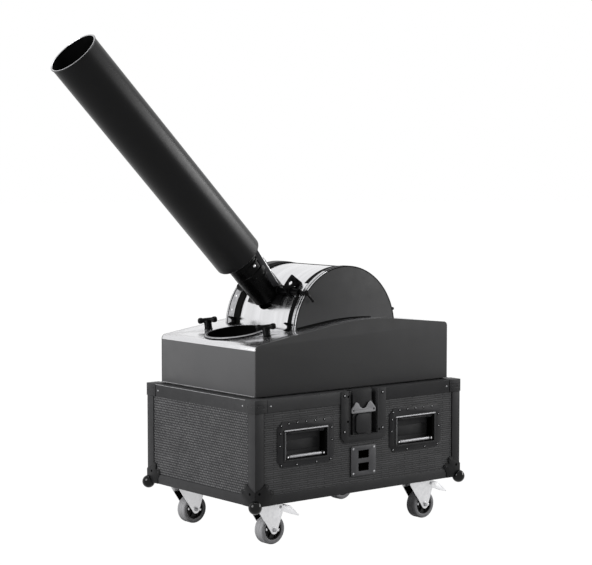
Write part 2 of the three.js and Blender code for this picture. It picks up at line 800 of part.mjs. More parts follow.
function buildCasters() {
  for (const [sideName, side] of sideNames) {
    for (const [endName, way] of endNames) {
      const x = way < 0 ? -casterFrontX : casterRearX;
      const holder = group(blower, x, -side * casterY, 0);
      const braked = sideName === 'front';
      addPiece(holder, `${sideName}_${endName}_caster_plate`, casterPlate(), zinc);
      addPiece(holder, `${sideName}_${endName}_caster_fork`, casterFork(braked), zinc);
      addPiece(holder, `${sideName}_${endName}_caster_wheel`, casterWheel(), greyRubber);
      if (braked) addPiece(holder, `${sideName}_${endName}_brake_pedal`, brakePedal(), zinc);
    }
  }
}

// Housing: the top line is a rounded front corner, a ramp, a round crest and a gentle fall to the rear
const housingFloor = caseHeight + housingLift;
const drumZ = caseHeight + drumLift;
const housingFrontX = housingShift - housingLength / 2;
const housingRearX = housingShift + housingLength / 2;
const rearTop = housingFloor + housingRearHeight;
const rampX = housingFrontX;
const rampZ = housingFloor + housingFrontHeight;
const frontTop = rampZ - frontCornerRadius * Math.tan(radians((90 - rampAngle) / 2));
const rampSlope = Math.tan(radians(rampAngle));
const fallSlope = Math.tan(radians(fallAngle));
const crestMeetX = (rearTop + fallSlope * housingRearX - rampZ + rampSlope * rampX)
  / (rampSlope + fallSlope);
const crestMeetZ = rampZ + rampSlope * (crestMeetX - rampX);
const tangent = crestRadius * Math.tan(radians((rampAngle + fallAngle) / 2));
const crestStartX = crestMeetX - tangent * Math.cos(radians(rampAngle));
const crestStartZ = crestMeetZ - tangent * Math.sin(radians(rampAngle));
const crestCentreX = crestStartX + crestRadius * Math.sin(radians(rampAngle));
const crestCentreZ = crestStartZ - crestRadius * Math.cos(radians(rampAngle));

function topLine(drop, inset) {
  return [
    ...arc(housingFrontX + frontCornerRadius, frontTop - drop + inset, frontCornerRadius - inset,
      180, 90 + rampAngle, smallSides / 2),
    ...arc(crestCentreX, crestCentreZ - drop, crestRadius, 90 + rampAngle, 90 - fallAngle, smallSides),
  ];
}

const rearCornerFoot = rearTop + fallSlope * rearCornerRadius - rearCornerRadius;
const deckEdge = deckDrop + sheetThickness + seatGap;

function buildHousing() {
  const sideOuter = housingWidth / 2;
  const sideInner = sideOuter - sheetThickness;
  const rearCorner = arc(
    housingRearX - rearCornerRadius, rearCornerFoot, rearCornerRadius, 90 - fallAngle, 0,
    smallSides / 2,
  );
  const sideOutline = [
    new THREE.Vector2(housingFrontX, housingFloor), ...topLine(0, 0), ...rearCorner,
    new THREE.Vector2(housingRearX, housingFloor),
  ];
  addPiece(blower, 'front_housing_side', prism('y', sideOutline, -sideOuter, -sideInner), greySheet);
  addPiece(blower, 'rear_housing_side', prism('y', sideOutline, sideInner, sideOuter), greySheet);

  const innerHalf = sideInner - seatGap;
  const footHalfLength = housingLength / 2 - footInset;
  const footHalfWidth = innerHalf - footInset;
  const foot = frameRing(footHalfLength, footHalfWidth, footWidth, footWidth,
    caseHeight + seatGap, housingFloor + sheetThickness, housingShift);
  const base = frameRing(housingLength / 2, innerHalf, footInset + footWidth, footInset + footWidth,
    housingFloor, housingFloor + sheetThickness, housingShift);
  const frontSheet = block(housingFrontX, housingFrontX + sheetThickness, -innerHalf, innerHalf,
    housingFloor, frontTop - deckDrop - seatGap);
  const rearSheet = block(housingRearX - sheetThickness, housingRearX, -innerHalf, innerHalf,
    housingFloor, rearCornerFoot - deckEdge);
  const lips = [-1, 1].map((way) => block(
    housingFrontX, housingRearX,
    way < 0 ? -innerHalf : innerHalf - sheetThickness, way < 0 ? -innerHalf + sheetThickness : innerHalf,
    housingFloor, housingFloor + footHeight,
  ));
  addPiece(blower, 'housing_frame', join(foot, base, frontSheet, rearSheet, ...lips), greySheet);
  buildDeck(innerHalf, rearCorner);
}

// The filling port's axis stands square to the ramp of the deck
const rampTilt = radians(rampAngle);
const portX = housingFrontX + portSetback;
const portZ = rampZ - deckDrop + rampSlope * (portX - rampX);
const onRamp = (solid) => solid.rotate([0, -rampAngle, 0]).translate([portX, 0, portZ]);

function buildDeck(innerHalf, rearCorner) {
  const sheet = (drop) => [
    ...topLine(drop, drop > deckDrop ? sheetThickness : 0),
    ...rearCorner.map((point) => new THREE.Vector2(
      point.x - (drop - deckDrop), point.y - drop,
    )),
  ];
  const upper = sheet(deckDrop);
  const lower = sheet(deckDrop + sheetThickness).reverse();
  const cheekReach = cheekHalfSpan + seatGap;
  const drumHalf = skinRadius + trimRadialThickness + seatGap * 2 + runGap;
  const opening = block(drumX - drumHalf, drumX + drumHalf, -cheekReach, cheekReach,
    housingFloor, drumZ + skinRadius);
  const portHole = onRamp(rod('z', 0, 0, portRadius + hopperWall + seatGap, -hopperNeck, hopperNeck,
    roundSides));
  const screwHoles = [-1, 1].map((way) => onRamp(rod('z', portScrewSetback, (way * portScrewSpacing) / 2,
    portScrewThread + seatGap, -hopperNeck, hopperNeck, smallSides)));
  const deck = cut(prism('y', [...upper, ...lower], -innerHalf, innerHalf), opening, portHole,
    ...screwHoles);
  addPiece(blower, 'deck', deck, silverSheet);
}

// Cheeks: fixed half discs with a rolled rim and an edge seal that the drum's skin turns under
const drum = group(blower, drumX, 0, drumZ);
const sealInner = skinRadius + runGap;
const trimOuter = sealInner + trimRadialThickness;

function cheek(way, sealWidth, trimWidth) {
  const face = way * cheekHalfSpan;
  const along = (depth) => face - way * depth;
  const span = (a, b) => [Math.min(along(a), along(b)), Math.max(along(a), along(b))];
  const skirt = -cheekSkirtDepth;
  const plate = prism('y', [
    ...arc(0, 0, trimOuter - cheekPlateInset, 0, 180, arcSteps),
    new THREE.Vector2(-trimOuter + cheekPlateInset, skirt),
    new THREE.Vector2(trimOuter - cheekPlateInset, skirt),
  ], ...span(0, cheekThickness));
  const trim = curvedStrip(sealInner, trimOuter, -6, 186, ...span(0, trimWidth), arcSteps);
  const seal = curvedStrip(sealInner, sealInner + sealThickness, -6, 186,
    ...span(trimWidth / 2, trimWidth + sealWidth), arcSteps);
  const rim = join(trim, seal);
  const knob = toSolid(new THREE.CylinderGeometry(cheekKnobRadius, cheekKnobRadius,
    cheekKnobHeight + trimRadialThickness, smallSides)
    .rotateZ(-Math.PI / 2)
    .translate(sealInner + (cheekKnobHeight + trimRadialThickness) / 2, 0, 0)
    .rotateY(-radians(cheekKnobAngle))
    .translate(0, along(trimWidth / 4), 0));
  const deckHere = portZ + rampSlope * (drumX - sealInner - portX) - drumZ;
  const lug = prism('y', [
    [-sealInner, deckHere + overrun], [-sealInner - footLugLength, deckHere + seatGap],
    [-sealInner - footLugLength, deckHere + overrun * 2], [-sealInner, deckHere + footLugHeight],
    [-sealInner + overrun, deckHere + footLugHeight], [-sealInner + overrun, deckHere + overrun],
  ].map(([x, z]) => new THREE.Vector2(x, z)), ...span(trimWidth, trimWidth + sealWidth / 2));
  const lugRoom = rod('y', 0, 0, sealInner, -cheekHalfSpan, cheekHalfSpan, bowlSides);
  const bore = rod('y', 0, 0, stubRadius + seatGap, -cheekHalfSpan - overrun, cheekHalfSpan + overrun);
  const collar = rod('y', 0, 0, stubCollarRadius, ...span(cheekThickness / 2, cheekThickness * 3));
  return cut(join(plate, rim, knob, collar, cut(lug, lugRoom)), bore);
}

function buildCheeks() {
  addPiece(drum, 'front_drum_cheek', cheek(-1, nearSealWidth, nearTrimWidth), greySheet);
  addPiece(drum, 'rear_drum_cheek', cheek(1, farSealWidth, farTrimWidth), greySheet);
}

// Everything that tilts is built level, with the barrel along -X, and turned up together
const tilting = new THREE.Group();
tilting.rotation.y = radians(elevation);
drum.add(tilting);
const fromBarrel = (angle) => 180 - angle;
const nearSkinEdge = cheekHalfSpan - nearSealWidth - nearTrimWidth;
const farSkinEdge = cheekHalfSpan - farSealWidth - farTrimWidth;
const shoeFoot = sealInner + sealThickness + runGap;
const shoeTop = shoeFoot + shoeThickness;
const footAngle = THREE.MathUtils.radToDeg(Math.asin(barrelOffset / skinRadius));
const shoeHalfAngle = 7;
const shoeAngle = -4;

// The drum: a skin open at the bottom, two spoked ends with stub shafts, and two side shoes
function buildDrum() {
  const endInset = cheekThickness * 3 + seatGap;
  const half = cheekHalfSpan - endInset;
  const skinFrom = skinBottomHalfOpening - 90 + elevation;
  const skinTo = 270 - skinBottomHalfOpening + elevation;
  const inner = skinRadius - skinThickness;
  const skin = curvedStrip(inner, skinRadius, skinFrom, skinTo, -half, half, skinSteps);
  const stubs = [-1, 1].map((way) => {
    const out = way * (cheekHalfSpan + cheekThickness);
    const inn = way * (half - stubRadius);
    return rod('y', 0, 0, stubRadius, Math.min(out, inn), Math.max(out, inn));
  });
  const spokes = [-1, 1].flatMap((way) => {
    const near = way * half;
    const far = way * (half - skinThickness);
    const y0 = Math.min(near, far);
    const y1 = Math.max(near, far);
    const arms = [-1, 0, 1].map((turn) => block(
      0, inner + skinThickness / 2, y0, y1, -spokeWidth / 2, spokeWidth / 2,
    ).rotate([0, -(skinFrom + skinTo) / 2 - turn * spokeSpread, 0]));
    return [...arms, rod('y', 0, 0, stubCollarRadius, y0, y1)];
  });
  const shoes = [[-1, nearSkinEdge, nearSealWidth], [1, farSkinEdge, farSealWidth]].map(
    ([way, edge, sealWidth]) => {
      const skinEdge = way * edge;
      const a0 = fromBarrel(shoeAngle + shoeHalfAngle);
      const a1 = fromBarrel(shoeAngle - shoeHalfAngle);
      const seated = skinEdge - way * (seatGap + shoeWidth / 4);
      const outer = skinEdge + way * (sealWidth - runGap);
      const rootEdge = skinEdge - way * (runGap + seatGap);
      const roof = curvedStrip(shoeFoot, shoeTop, a0, a1,
        Math.min(seated, outer), Math.max(seated, outer), smallSides);
      const root = curvedStrip(skinRadius - skinThickness / 2, shoeTop, a0, a1,
        Math.min(seated, rootEdge), Math.max(seated, rootEdge), smallSides);
      return join(roof, root);
    },
  );
  const airHole = rod('x', 0, -barrelOffset, couplingRadius - couplingWall, -skinRadius - overrun, 0);
  addPiece(tilting, 'drum_shell', cut(join(skin, ...stubs, ...spokes, ...shoes), airHole), silverSheet);
}

function buildBarrel() {
  const base = 0;
  const muzzle = barrelLength;
  const outer = barrelRadius - muzzleLipRadius;
  const inner = outer - barrelWall;
  const airway = couplingRadius - couplingWall;
  const profile = [
    [airway, base], [outer - barrelChamfer, base], [outer, base + barrelChamfer],
    [outer, muzzle - muzzleLipRadius * 2], [barrelRadius, muzzle - muzzleLipRadius],
    [barrelRadius, muzzle], [inner, muzzle], [inner, base + barrelBasePlate],
    [airway, base + barrelBasePlate], [airway, base],
  ];
  const barrel = turned('x', profile, roundSides).rotate([0, 180, 0])
    .translate([-barrelBaseReach, 0, -barrelOffset]);
  addPiece(tilting, 'barrel', barrel, blackMetal);
}

// The saddle: a pad that fits the drum, a cross bar with two slotted ears, and the coupling
function buildSaddle() {
  const padInner = skinRadius + seatGap;
  const pad = curvedStrip(padInner, padInner + saddlePadThickness,
    fromBarrel(footAngle * 0 - 2), fromBarrel(-footAngle * 2 + 2),
    -saddlePadHalfWidth, saddlePadHalfWidth, smallSides);
  const end = -barrelBaseReach + seatGap;
  const tube = rod('x', 0, -barrelOffset, couplingRadius, end, 0, roundSides);
  const airway = rod('x', 0, -barrelOffset, couplingRadius - couplingWall, end - overrun, 0, roundSides);
  const collar = rod('x', 0, -barrelOffset, collarRadius, end, end + collarThickness, roundSides);
  const clampX = end + collarThickness * 4;
  const clamp = rod('x', 0, -barrelOffset, clampRadius, clampX, clampX + clampThickness, roundSides);
  const lugZ = -barrelOffset - clampRadius;
  const lugs = [0, 1, 2].map((i) => {
    const x = end + collarThickness * (2 + 3 * i);
    return block(x, x + clampLugHeight, -clampLugWidth, clampLugWidth,
      lugZ - clampLugReach + clampLugWidth / 2, lugZ + clampLugWidth);
  });
  const ballRoom = rod('y', 0, 0, padInner, -cheekHalfSpan, cheekHalfSpan, bowlSides);
  const barReach = padInner + crossBarLift;
  const barX = -barReach * Math.cos(radians(crossBarAngle));
  const barZ = barReach * Math.sin(radians(crossBarAngle));
  const barHalf = cheekHalfSpan - nearTrimWidth - overrun;
  const bar = rod('y', barX, barZ, crossBarRadius, -barHalf, barHalf);
  const ears = [-1, 1].map((way) => {
    const outerAngles = [2, -10];
    const top = arc(0, 0, padInner + earHeight, fromBarrel(outerAngles[0]), fromBarrel(outerAngles[1]),
      smallSides / 2);
    const foot = arc(0, 0, padInner, fromBarrel(-14), fromBarrel(5), smallSides / 2);
    const y = way * earSetting;
    const plate = prism('y', [...top, ...foot], y - earThickness / 2, y + earThickness / 2);
    const slots = [2.2, -5.2].map((angle) => {
      const reach = padInner + (earHeight * 3) / 5;
      const slot = prism('y', chamferedRectangle(-earSlotWidth / 2, earSlotWidth / 2,
        -earSlotLength / 2, earSlotLength / 2, earSlotWidth / 3),
      y - earThickness, y + earThickness);
      return slot.rotate([0, -20, 0]).translate([
        -reach * Math.cos(radians(angle)), 0, reach * Math.sin(radians(angle)),
      ]);
    });
    return cut(plate, ...slots);
  });
  const strut = block(end + collarThickness / 2, -padInner - saddlePadThickness,
    -couplingRadius, -couplingRadius + strutThickness,
    -barrelOffset + couplingRadius / 2 - strutWidth / 2, -barrelOffset + couplingRadius / 2 + strutWidth / 2);
  const pin = rod('y', barX, barZ, leverPinRadius, -leverEndY, 0, smallSides);
  const solid = join(pad, tube, collar, clamp, ...lugs, bar, ...ears, strut, pin);
  const shoeRoom = [
    [-cheekHalfSpan, -nearSkinEdge + shoeWidth / 2], [farSkinEdge - shoeWidth / 2, cheekHalfSpan],
  ].map(([from, to]) => rod('y', 0, 0, shoeTop + seatGap, from, to, bowlSides));
  const saddle = cut(solid, airway, ballRoom, ...shoeRoom);
  addPiece(tilting, 'barrel_saddle', saddle, blackMetal);
  addLever(barX, barZ);
}

const leverEndY = cheekHalfSpan + overrun * 2 + leverBossWidth;

// The locking lever turns on the near end of the cross bar and hangs over the cheek
function addLever(x, z) {
  const boss = rod('y', x, z, leverBossRadius, -leverEndY, -leverEndY + leverBossWidth);
  const bore = rod('y', x, z, leverPinRadius + seatGap, -leverEndY - overrun, -cheekHalfSpan, smallSides);
  const handle = toSolid(new THREE.CylinderGeometry(leverRadius, leverRadius, leverLength, smallSides)
    .rotateZ(Math.PI / 2).translate(leverLength / 2, -leverEndY + leverBossWidth / 2, 0)
    .translate(x, 0, z));
  addPiece(tilting, 'lock_lever', cut(join(boss, handle), bore), blackMetal);
}

// The hopper hangs in the deck from the port's ring, over a chute that slopes to the fan's duct
const ductX0 = fanX - scrollStartRadius - scrollGrowth;
const chuteEndX = ductX0 + chuteEntry;
const chuteX = portX + hopperDepth * Math.sin(rampTilt);
const chuteTop = portZ - hopperDepth * Math.cos(rampTilt) + chuteCollar;
const chuteUpperKnee = chuteTop - chuteDrop;
const chuteUpperEnd = chuteUpperKnee - chuteSlope * (chuteEndX - chuteX - chuteHalf);
const chuteLowerEnd = chuteUpperEnd - 2 * chuteHalf + chuteCollar;
const chuteLowerKnee = chuteLowerEnd + chuteSlope * (chuteEndX - chuteX + chuteHalf);

function chuteOutline(inset, over) {
  return [
    [chuteX - chuteHalf + inset, chuteTop - inset], [chuteX + chuteHalf - inset, chuteTop - inset],
    [chuteX + chuteHalf - inset, chuteUpperKnee - inset],
    [chuteEndX + over, chuteUpperEnd - inset - chuteSlope * over],
    [chuteEndX + over, chuteLowerEnd + inset - chuteSlope * over],
    [chuteX - chuteHalf + inset, chuteLowerKnee + inset],
  ].map(([x, z]) => new THREE.Vector2(x, z));
}

function buildHopper() {
  const outer = portRadius + portRingWidth;
  const wall = hopperWall;
  const ringTop = seatGap + portRingHeight;
  const bowl = onRamp(turned('z', [
    [0, ringTop], [outer - wall, ringTop], [outer, ringTop - wall], [outer, seatGap],
    [portRadius + wall, seatGap], [portRadius + wall, -hopperNeck],
    [throatRadius + wall, -hopperDepth], [0, -hopperDepth],
  ], roundSides));
  const bowlSpace = onRamp(turned('z', [
    [0, ringTop + overrun], [portRadius, ringTop + overrun], [portRadius, -hopperNeck],
    [throatRadius, -hopperDepth], [throatRadius, -hopperDepth - overrun],
    [0, -hopperDepth - overrun],
  ], roundSides));
  const chute = cut(
    prism('y', chuteOutline(0, 0), -chuteHalf, chuteHalf),
    prism('y', chuteOutline(chuteWall, overrun), -chuteHalf + chuteWall, chuteHalf - chuteWall),
  );
  addPiece(blower, 'hopper', cut(join(bowl, chute), bowlSpace), silverSheet);
}

// Two screws with cross bars hold the port down, one on each side of it
function buildPortScrews() {
  for (const [sideName, side] of sideNames) {
    const y = (-side * portScrewSpacing) / 2;
    const stem = turned('z', [
      [0, -portScrewThreadLength], [portScrewThread, -portScrewThreadLength],
      [portScrewThread, seatGap], [portScrewRadius, seatGap],
      [portScrewRadius, portScrewHeight / 2], [portScrewFlare, portScrewHeight], [0, portScrewHeight],
    ], mediumSides);
    const bar = rod('y', 0, portScrewHeight, portScrewBarRadius,
      -portScrewBarLength / 2, portScrewBarLength / 2, smallSides);
    const ends = [-1, 1].map((way) => toSolid(
      new THREE.SphereGeometry(portScrewKnobRadius, fewSides, smallSides / 2)
        .translate(0, (way * portScrewBarLength) / 2, portScrewHeight),
    ));
    const screw = onRamp(join(stem, bar, ...ends).rotate([0, 0, 50]).translate([portScrewSetback, y, 0]));
    addPiece(blower, `${sideName}_port_screw`, screw, blackMetal);
  }
}

// Fan: a scroll that opens upwards into the drum, an impeller on the motor's shaft
function scrollOutline(inset) {
  const steps = arcSteps;
  const points = [];
  for (let i = 0; i <= steps; i += 1) {
    const share = i / steps;
    const angle = radians(90 - 270 * share);
    const radius = scrollStartRadius + scrollGrowth * share - inset;
    points.push(new THREE.Vector2(radius * Math.cos(angle), radius * Math.sin(angle)));
  }
  return points;
}

function buildFan() {
  const holder = group(blower, fanX, 0, fanHeight);
  const half = fanWidth / 2;
  const top = drumZ - skinRadius - ductTopGap - fanHeight;
  const ductOuter = -scrollStartRadius - scrollGrowth;
  const ductInner = ductOuter + ductLength;
  const shell = (inset, over) => [
    ...scrollOutline(inset),
    new THREE.Vector2(ductOuter + inset, top + over), new THREE.Vector2(ductInner - inset, top + over),
    new THREE.Vector2(ductInner - inset, scrollStartRadius - inset),
  ];
  const body = prism('y', shell(0, 0), -half, half);
  const air = prism('y', shell(fanWall, overrun), -half + fanWall, half - fanWall);
  const footFloor = boardThickness + seatGap - fanHeight;
  const foot = block(-fanFootLength / 2, fanFootLength / 2, -half, half,
    footFloor, -scrollStartRadius + fanWall);
  const feet = cut(foot, block(-fanFootLength / 2 + fanWall * 4, fanFootLength / 2 - fanWall * 4,
    -half - overrun, half + overrun, footFloor - overrun, -scrollStartRadius - scrollGrowth));
  const inlet = rod('y', 0, 0, fanInletRadius, half - fanWall - overrun, half + overrun, roundSides);
  const shaftHole = rod('y', 0, 0, motorShaftRadius + runGap, -half - overrun, -half + fanWall + overrun);
  const portGap = seatGap + chuteSlope * chuteEntry;
  const chutePort = block(ductOuter - overrun, ductOuter + fanWall + overrun,
    -chuteHalf - seatGap, chuteHalf + seatGap,
    chuteLowerEnd - fanHeight - seatGap, chuteUpperEnd - fanHeight + portGap);
  addPiece(holder, 'fan_scroll', cut(join(body, feet), air, inlet, shaftHole, chutePort), plateGrey);

  const wheelHalf = impellerWidth / 2;
  const blades = Array.from({ length: bladeCount }, (_, i) => {
    const blade = block(impellerRadius - bladeDepth, impellerRadius - bladeThickness / 2,
      -wheelHalf, wheelHalf, -bladeThickness / 2, bladeThickness / 2);
    return blade.rotate([0, (360 * i) / bladeCount, 0]);
  });
  const disc = rod('y', 0, 0, impellerRadius, -wheelHalf, -wheelHalf + impellerDisc, roundSides);
  const ring = cut(
    rod('y', 0, 0, impellerRadius, wheelHalf - impellerDisc, wheelHalf, roundSides),
    rod('y', 0, 0, impellerRadius - bladeDepth, wheelHalf - impellerDisc - overrun,
      wheelHalf + overrun, roundSides),
  );
  const hub = rod('y', 0, 0, motorHubRadius, -wheelHalf, 0);
  const hubBore = rod('y', 0, 0, motorShaftRadius + seatGap, -wheelHalf - overrun, overrun);
  addPiece(holder, 'fan_impeller', cut(join(disc, ring, hub, ...blades), hubBore), zinc);

  const motorFront = -half - seatGap;
  const can = rod('y', 0, 0, motorRadius, motorFront - motorLength, motorFront, roundSides);
  const ribs = Array.from({ length: motorRibCount }, (_, i) => {
    const rib = block(motorRadius - motorRibHeight, motorRadius + motorRibHeight,
      motorFront - (motorLength * 4) / 5, motorFront - motorLength / 5, -motorRibWidth / 2, motorRibWidth / 2);
    return rib.rotate([0, (360 * i) / motorRibCount, 0]);
  });
  const shaft = rod('y', 0, 0, motorShaftRadius, motorFront - overrun, -overrun);
  addPiece(holder, 'fan_motor', join(can, ...ribs, shaft), blackSteel);
}

buildFloor();
buildLongBoards();
buildEndBoards();
buildTopRim();
buildBottomRim();
buildCornerAngles();
buildCornerBalls();
buildHandles();
buildLatches();
buildSocketPlate();
buildCasters();
buildHousing();
buildCheeks();
buildDrum();
buildBarrel();
buildSaddle();
buildHopper();
buildPortScrews();
buildFan();

export default blower;
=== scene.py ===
import math
from itertools import product

import bpy
from mathutils import Matrix, Vector


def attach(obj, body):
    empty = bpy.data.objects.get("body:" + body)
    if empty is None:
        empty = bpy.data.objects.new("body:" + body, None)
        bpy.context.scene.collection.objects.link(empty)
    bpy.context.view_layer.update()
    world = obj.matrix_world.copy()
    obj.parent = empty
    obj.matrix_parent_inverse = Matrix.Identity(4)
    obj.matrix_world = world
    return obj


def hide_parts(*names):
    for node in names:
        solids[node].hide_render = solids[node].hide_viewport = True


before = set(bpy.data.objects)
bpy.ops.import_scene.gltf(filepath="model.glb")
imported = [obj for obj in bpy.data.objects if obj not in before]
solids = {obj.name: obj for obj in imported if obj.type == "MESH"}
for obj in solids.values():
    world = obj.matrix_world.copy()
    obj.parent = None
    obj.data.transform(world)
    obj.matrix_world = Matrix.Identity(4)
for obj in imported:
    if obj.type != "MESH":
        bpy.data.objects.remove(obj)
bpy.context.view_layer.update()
scene = bpy.context.scene
scene.view_settings.view_transform = "Standard"
mm = 0.001  # every size below is in millimetres, and the helpers turn it to metres
print("frame loaded,", len(solids), "nodes")

# the photograph's view, found from the edges of the case
photoView = {"place": (-2951.2, -3594.1, 854.8), "yaw": 39.098, "pitch": 4.017, "lens": 106.27}

cameraData = bpy.data.cameras.new("photoCamera")
cameraData.lens = photoView["lens"]
cameraData.sensor_width = 36
cameraData.sensor_fit = "HORIZONTAL"
cameraData.clip_end = 40
camera = bpy.data.objects.new("photoCamera", cameraData)
scene.collection.objects.link(camera)
camera.location = Vector(photoView["place"]) * mm
camera.rotation_euler = (math.radians(90 - photoView["pitch"]), 0, math.radians(-photoView["yaw"]))
scene.camera = camera


# sRGB hex to linear, with alpha
def hexColour(text):
    parts = [int(text[i:i + 2], 16) / 255 for i in (0, 2, 4)]
    return [p / 12.92 if p <= 0.04045 else ((p + 0.055) / 1.055) ** 2.4 for p in parts] + [1]


# adds one node: settings are its own, values and links are by socket name or number
def addNode(tree, kind, values=None, links=None, **settings):
    node = tree.nodes.new("ShaderNode" + kind)
    for key, value in settings.items():
        setattr(node, key, value)
    for key, value in (values or {}).items():
        node.inputs[key].default_value = value
    for key, source in (links or {}).items():
        tree.links.new(source, node.inputs[key])
    return node


def freshTree(owner):  # the empty node tree of a material or world
    owner.use_nodes = True
    owner.node_tree.nodes.clear()
    return owner.node_tree


# a material with one Principled shader, whose plain numbers sit on its own sockets
def newFinish(name, values):
    finish = bpy.data.materials.new(name)
    tree = freshTree(finish)
    shader = addNode(tree, "BsdfPrincipled", values)
    addNode(tree, "OutputMaterial", links={"Surface": shader.outputs["BSDF"]})
    return finish, shader, addNode(tree, "TexCoord").outputs["Object"]


# these work in the tree of the socket or shader that they are given
def join(source, shader, name):
    shader.id_data.links.new(source, shader.inputs[name])


def noise(place, size, detail=3, stretch=(1, 1, 1)):  # size of one blotch or grain in mm
    tree = place.id_data
    mapped = addNode(tree, "Mapping", {"Scale": stretch}, {"Vector": place}).outputs["Vector"]
    return addNode(tree, "TexNoise", {"Scale": 1000 / size, "Detail": detail}, {"Vector": mapped}).outputs["Fac"]


def spread(source, low=0, high=1, start=0.3, end=0.7):
    limits = {"From Min": start, "From Max": end, "To Min": low, "To Max": high}
    return addNode(source.id_data, "MapRange", limits, {"Value": source}).outputs["Result"]


def blend(share, first, second):
    return addNode(share.id_data, "Mix", {6: hexColour(first), 7: hexColour(second)}, {0: share},
                   data_type="RGBA").outputs[2]


def bump(shader, height, depth, strength):  # depth in mm
    node = addNode(shader.id_data, "Bump", {"Distance": depth * mm, "Strength": strength}, {"Height": height})
    join(node.outputs["Normal"], shader, "Normal")


# colour between two tones by one pattern, roughness between two values by another
def tone(shader, shades, dark, light, rub, low, high):
    join(blend(shades, dark, light), shader, "Base Color")
    join(spread(rub, low, high), shader, "Roughness")


# powder coat: fused polyester powder, which leaves a fine orange peel and a broad dull sheen;
# the peel is drawn about twice its real 1 mm so that it shows
def powderCoat(name, dark, light, roughness=0.52, specular=0.12):
    finish, shader, place = newFinish(name, {"Roughness": roughness, "Specular IOR Level": specular})
    tone(shader, noise(place, 160, 2), dark, light, noise(place, 30), roughness - 0.05, roughness + 0.06)
    bump(shader, noise(place, 2.2, 2), 0.06, 0.5)
    return finish


# stoved black enamel on steel pressings: thin and smooth, rubbed a little lighter in places
def blackEnamel(name, dark, light, roughness, specular=0.12, peel=0.05, wear=1.0):
    finish, shader, place = newFinish(name, {"Roughness": roughness, "Specular IOR Level": specular})
    tone(shader, spread(noise(place, 35, 4)), dark, light, noise(place, 12), roughness - 0.06 * wear,
         roughness + 0.08 * wear)
    bump(shader, noise(place, 3, 2), peel, 0.4)
    return finish


# rolled or drawn bare metal: fine scratches along one direction, drawn coarser than the real 0.1 mm
def brushedMetal(name, dark, light, roughness, stretch, size=3.0, scratch=0.02):
    finish, shader, place = newFinish(name, {"Roughness": roughness, "Metallic": 1.0})
    lines = noise(place, size, 4, stretch)
    tone(shader, spread(lines), dark, light, lines, roughness - 0.04, roughness + 0.07)
    bump(shader, lines, scratch, 0.25)
    return finish


# zinc plate on pressed steel: bright but a little cloudy, with soft patches of 6 to 10 mm
def zincPlate(name, dark, light, roughness):
    finish, shader, place = newFinish(name, {"Roughness": roughness, "Metallic": 0.9})
    patches = noise(place, 9)
    tone(shader, spread(patches), dark, light, patches, roughness - 0.07, roughness + 0.1)
    bump(shader, noise(place, 2.5, 2), 0.03, 0.4)
    return finish


# phenolic laminate on plywood, pressed with rows of raised dashes, painted lighter than the ground
# between them as a painted highlight; they are short on the end boards and run into near lines on the long sides
def pressedLaminate(name, dashPitch, rowPitch, groove, high, low, ground):
    finish, shader, place = newFinish(name, {"Roughness": 0.5, "Specular IOR Level": 0.15})
    tree = place.id_data
    axes = addNode(tree, "SeparateXYZ", links={"Vector": place}).outputs
    along = addNode(tree, "Math", links={0: axes["X"], 1: axes["Y"]}, operation="ADD").outputs["Value"]
    face = addNode(tree, "CombineXYZ", links={"X": along, "Y": axes["Z"]}).outputs["Vector"]
    unit = 20  # the brick node clamps small sizes, so its scale carries them
    dashes = addNode(tree, "TexBrick", {
        "Scale": unit, "Color1": hexColour(high), "Color2": hexColour(low), "Mortar": hexColour(ground),
        "Mortar Size": groove / 2 * mm * unit, "Mortar Smooth": 0.6, "Bias": 0.0,
        "Brick Width": dashPitch * mm * unit, "Row Height": rowPitch * mm * unit,
    }, {"Vector": face}, offset=0.5, offset_frequency=2).outputs
    rubbed = blend(spread(noise(place, 60)), "b8b8b8", "ffffff")
    worn = addNode(tree, "Mix", {0: 0.5}, {6: dashes["Color"], 7: rubbed}, data_type="RGBA", blend_type="MULTIPLY")
    join(worn.outputs[2], shader, "Base Color")
    raised = addNode(tree, "Math", {0: 1.0}, {1: dashes["Fac"]}, operation="SUBTRACT").outputs["Value"]
    join(spread(raised, 0.6, 0.42, 0, 1), shader, "Roughness")
    bump(shader, raised, 0.6, 0.6)
    return finish


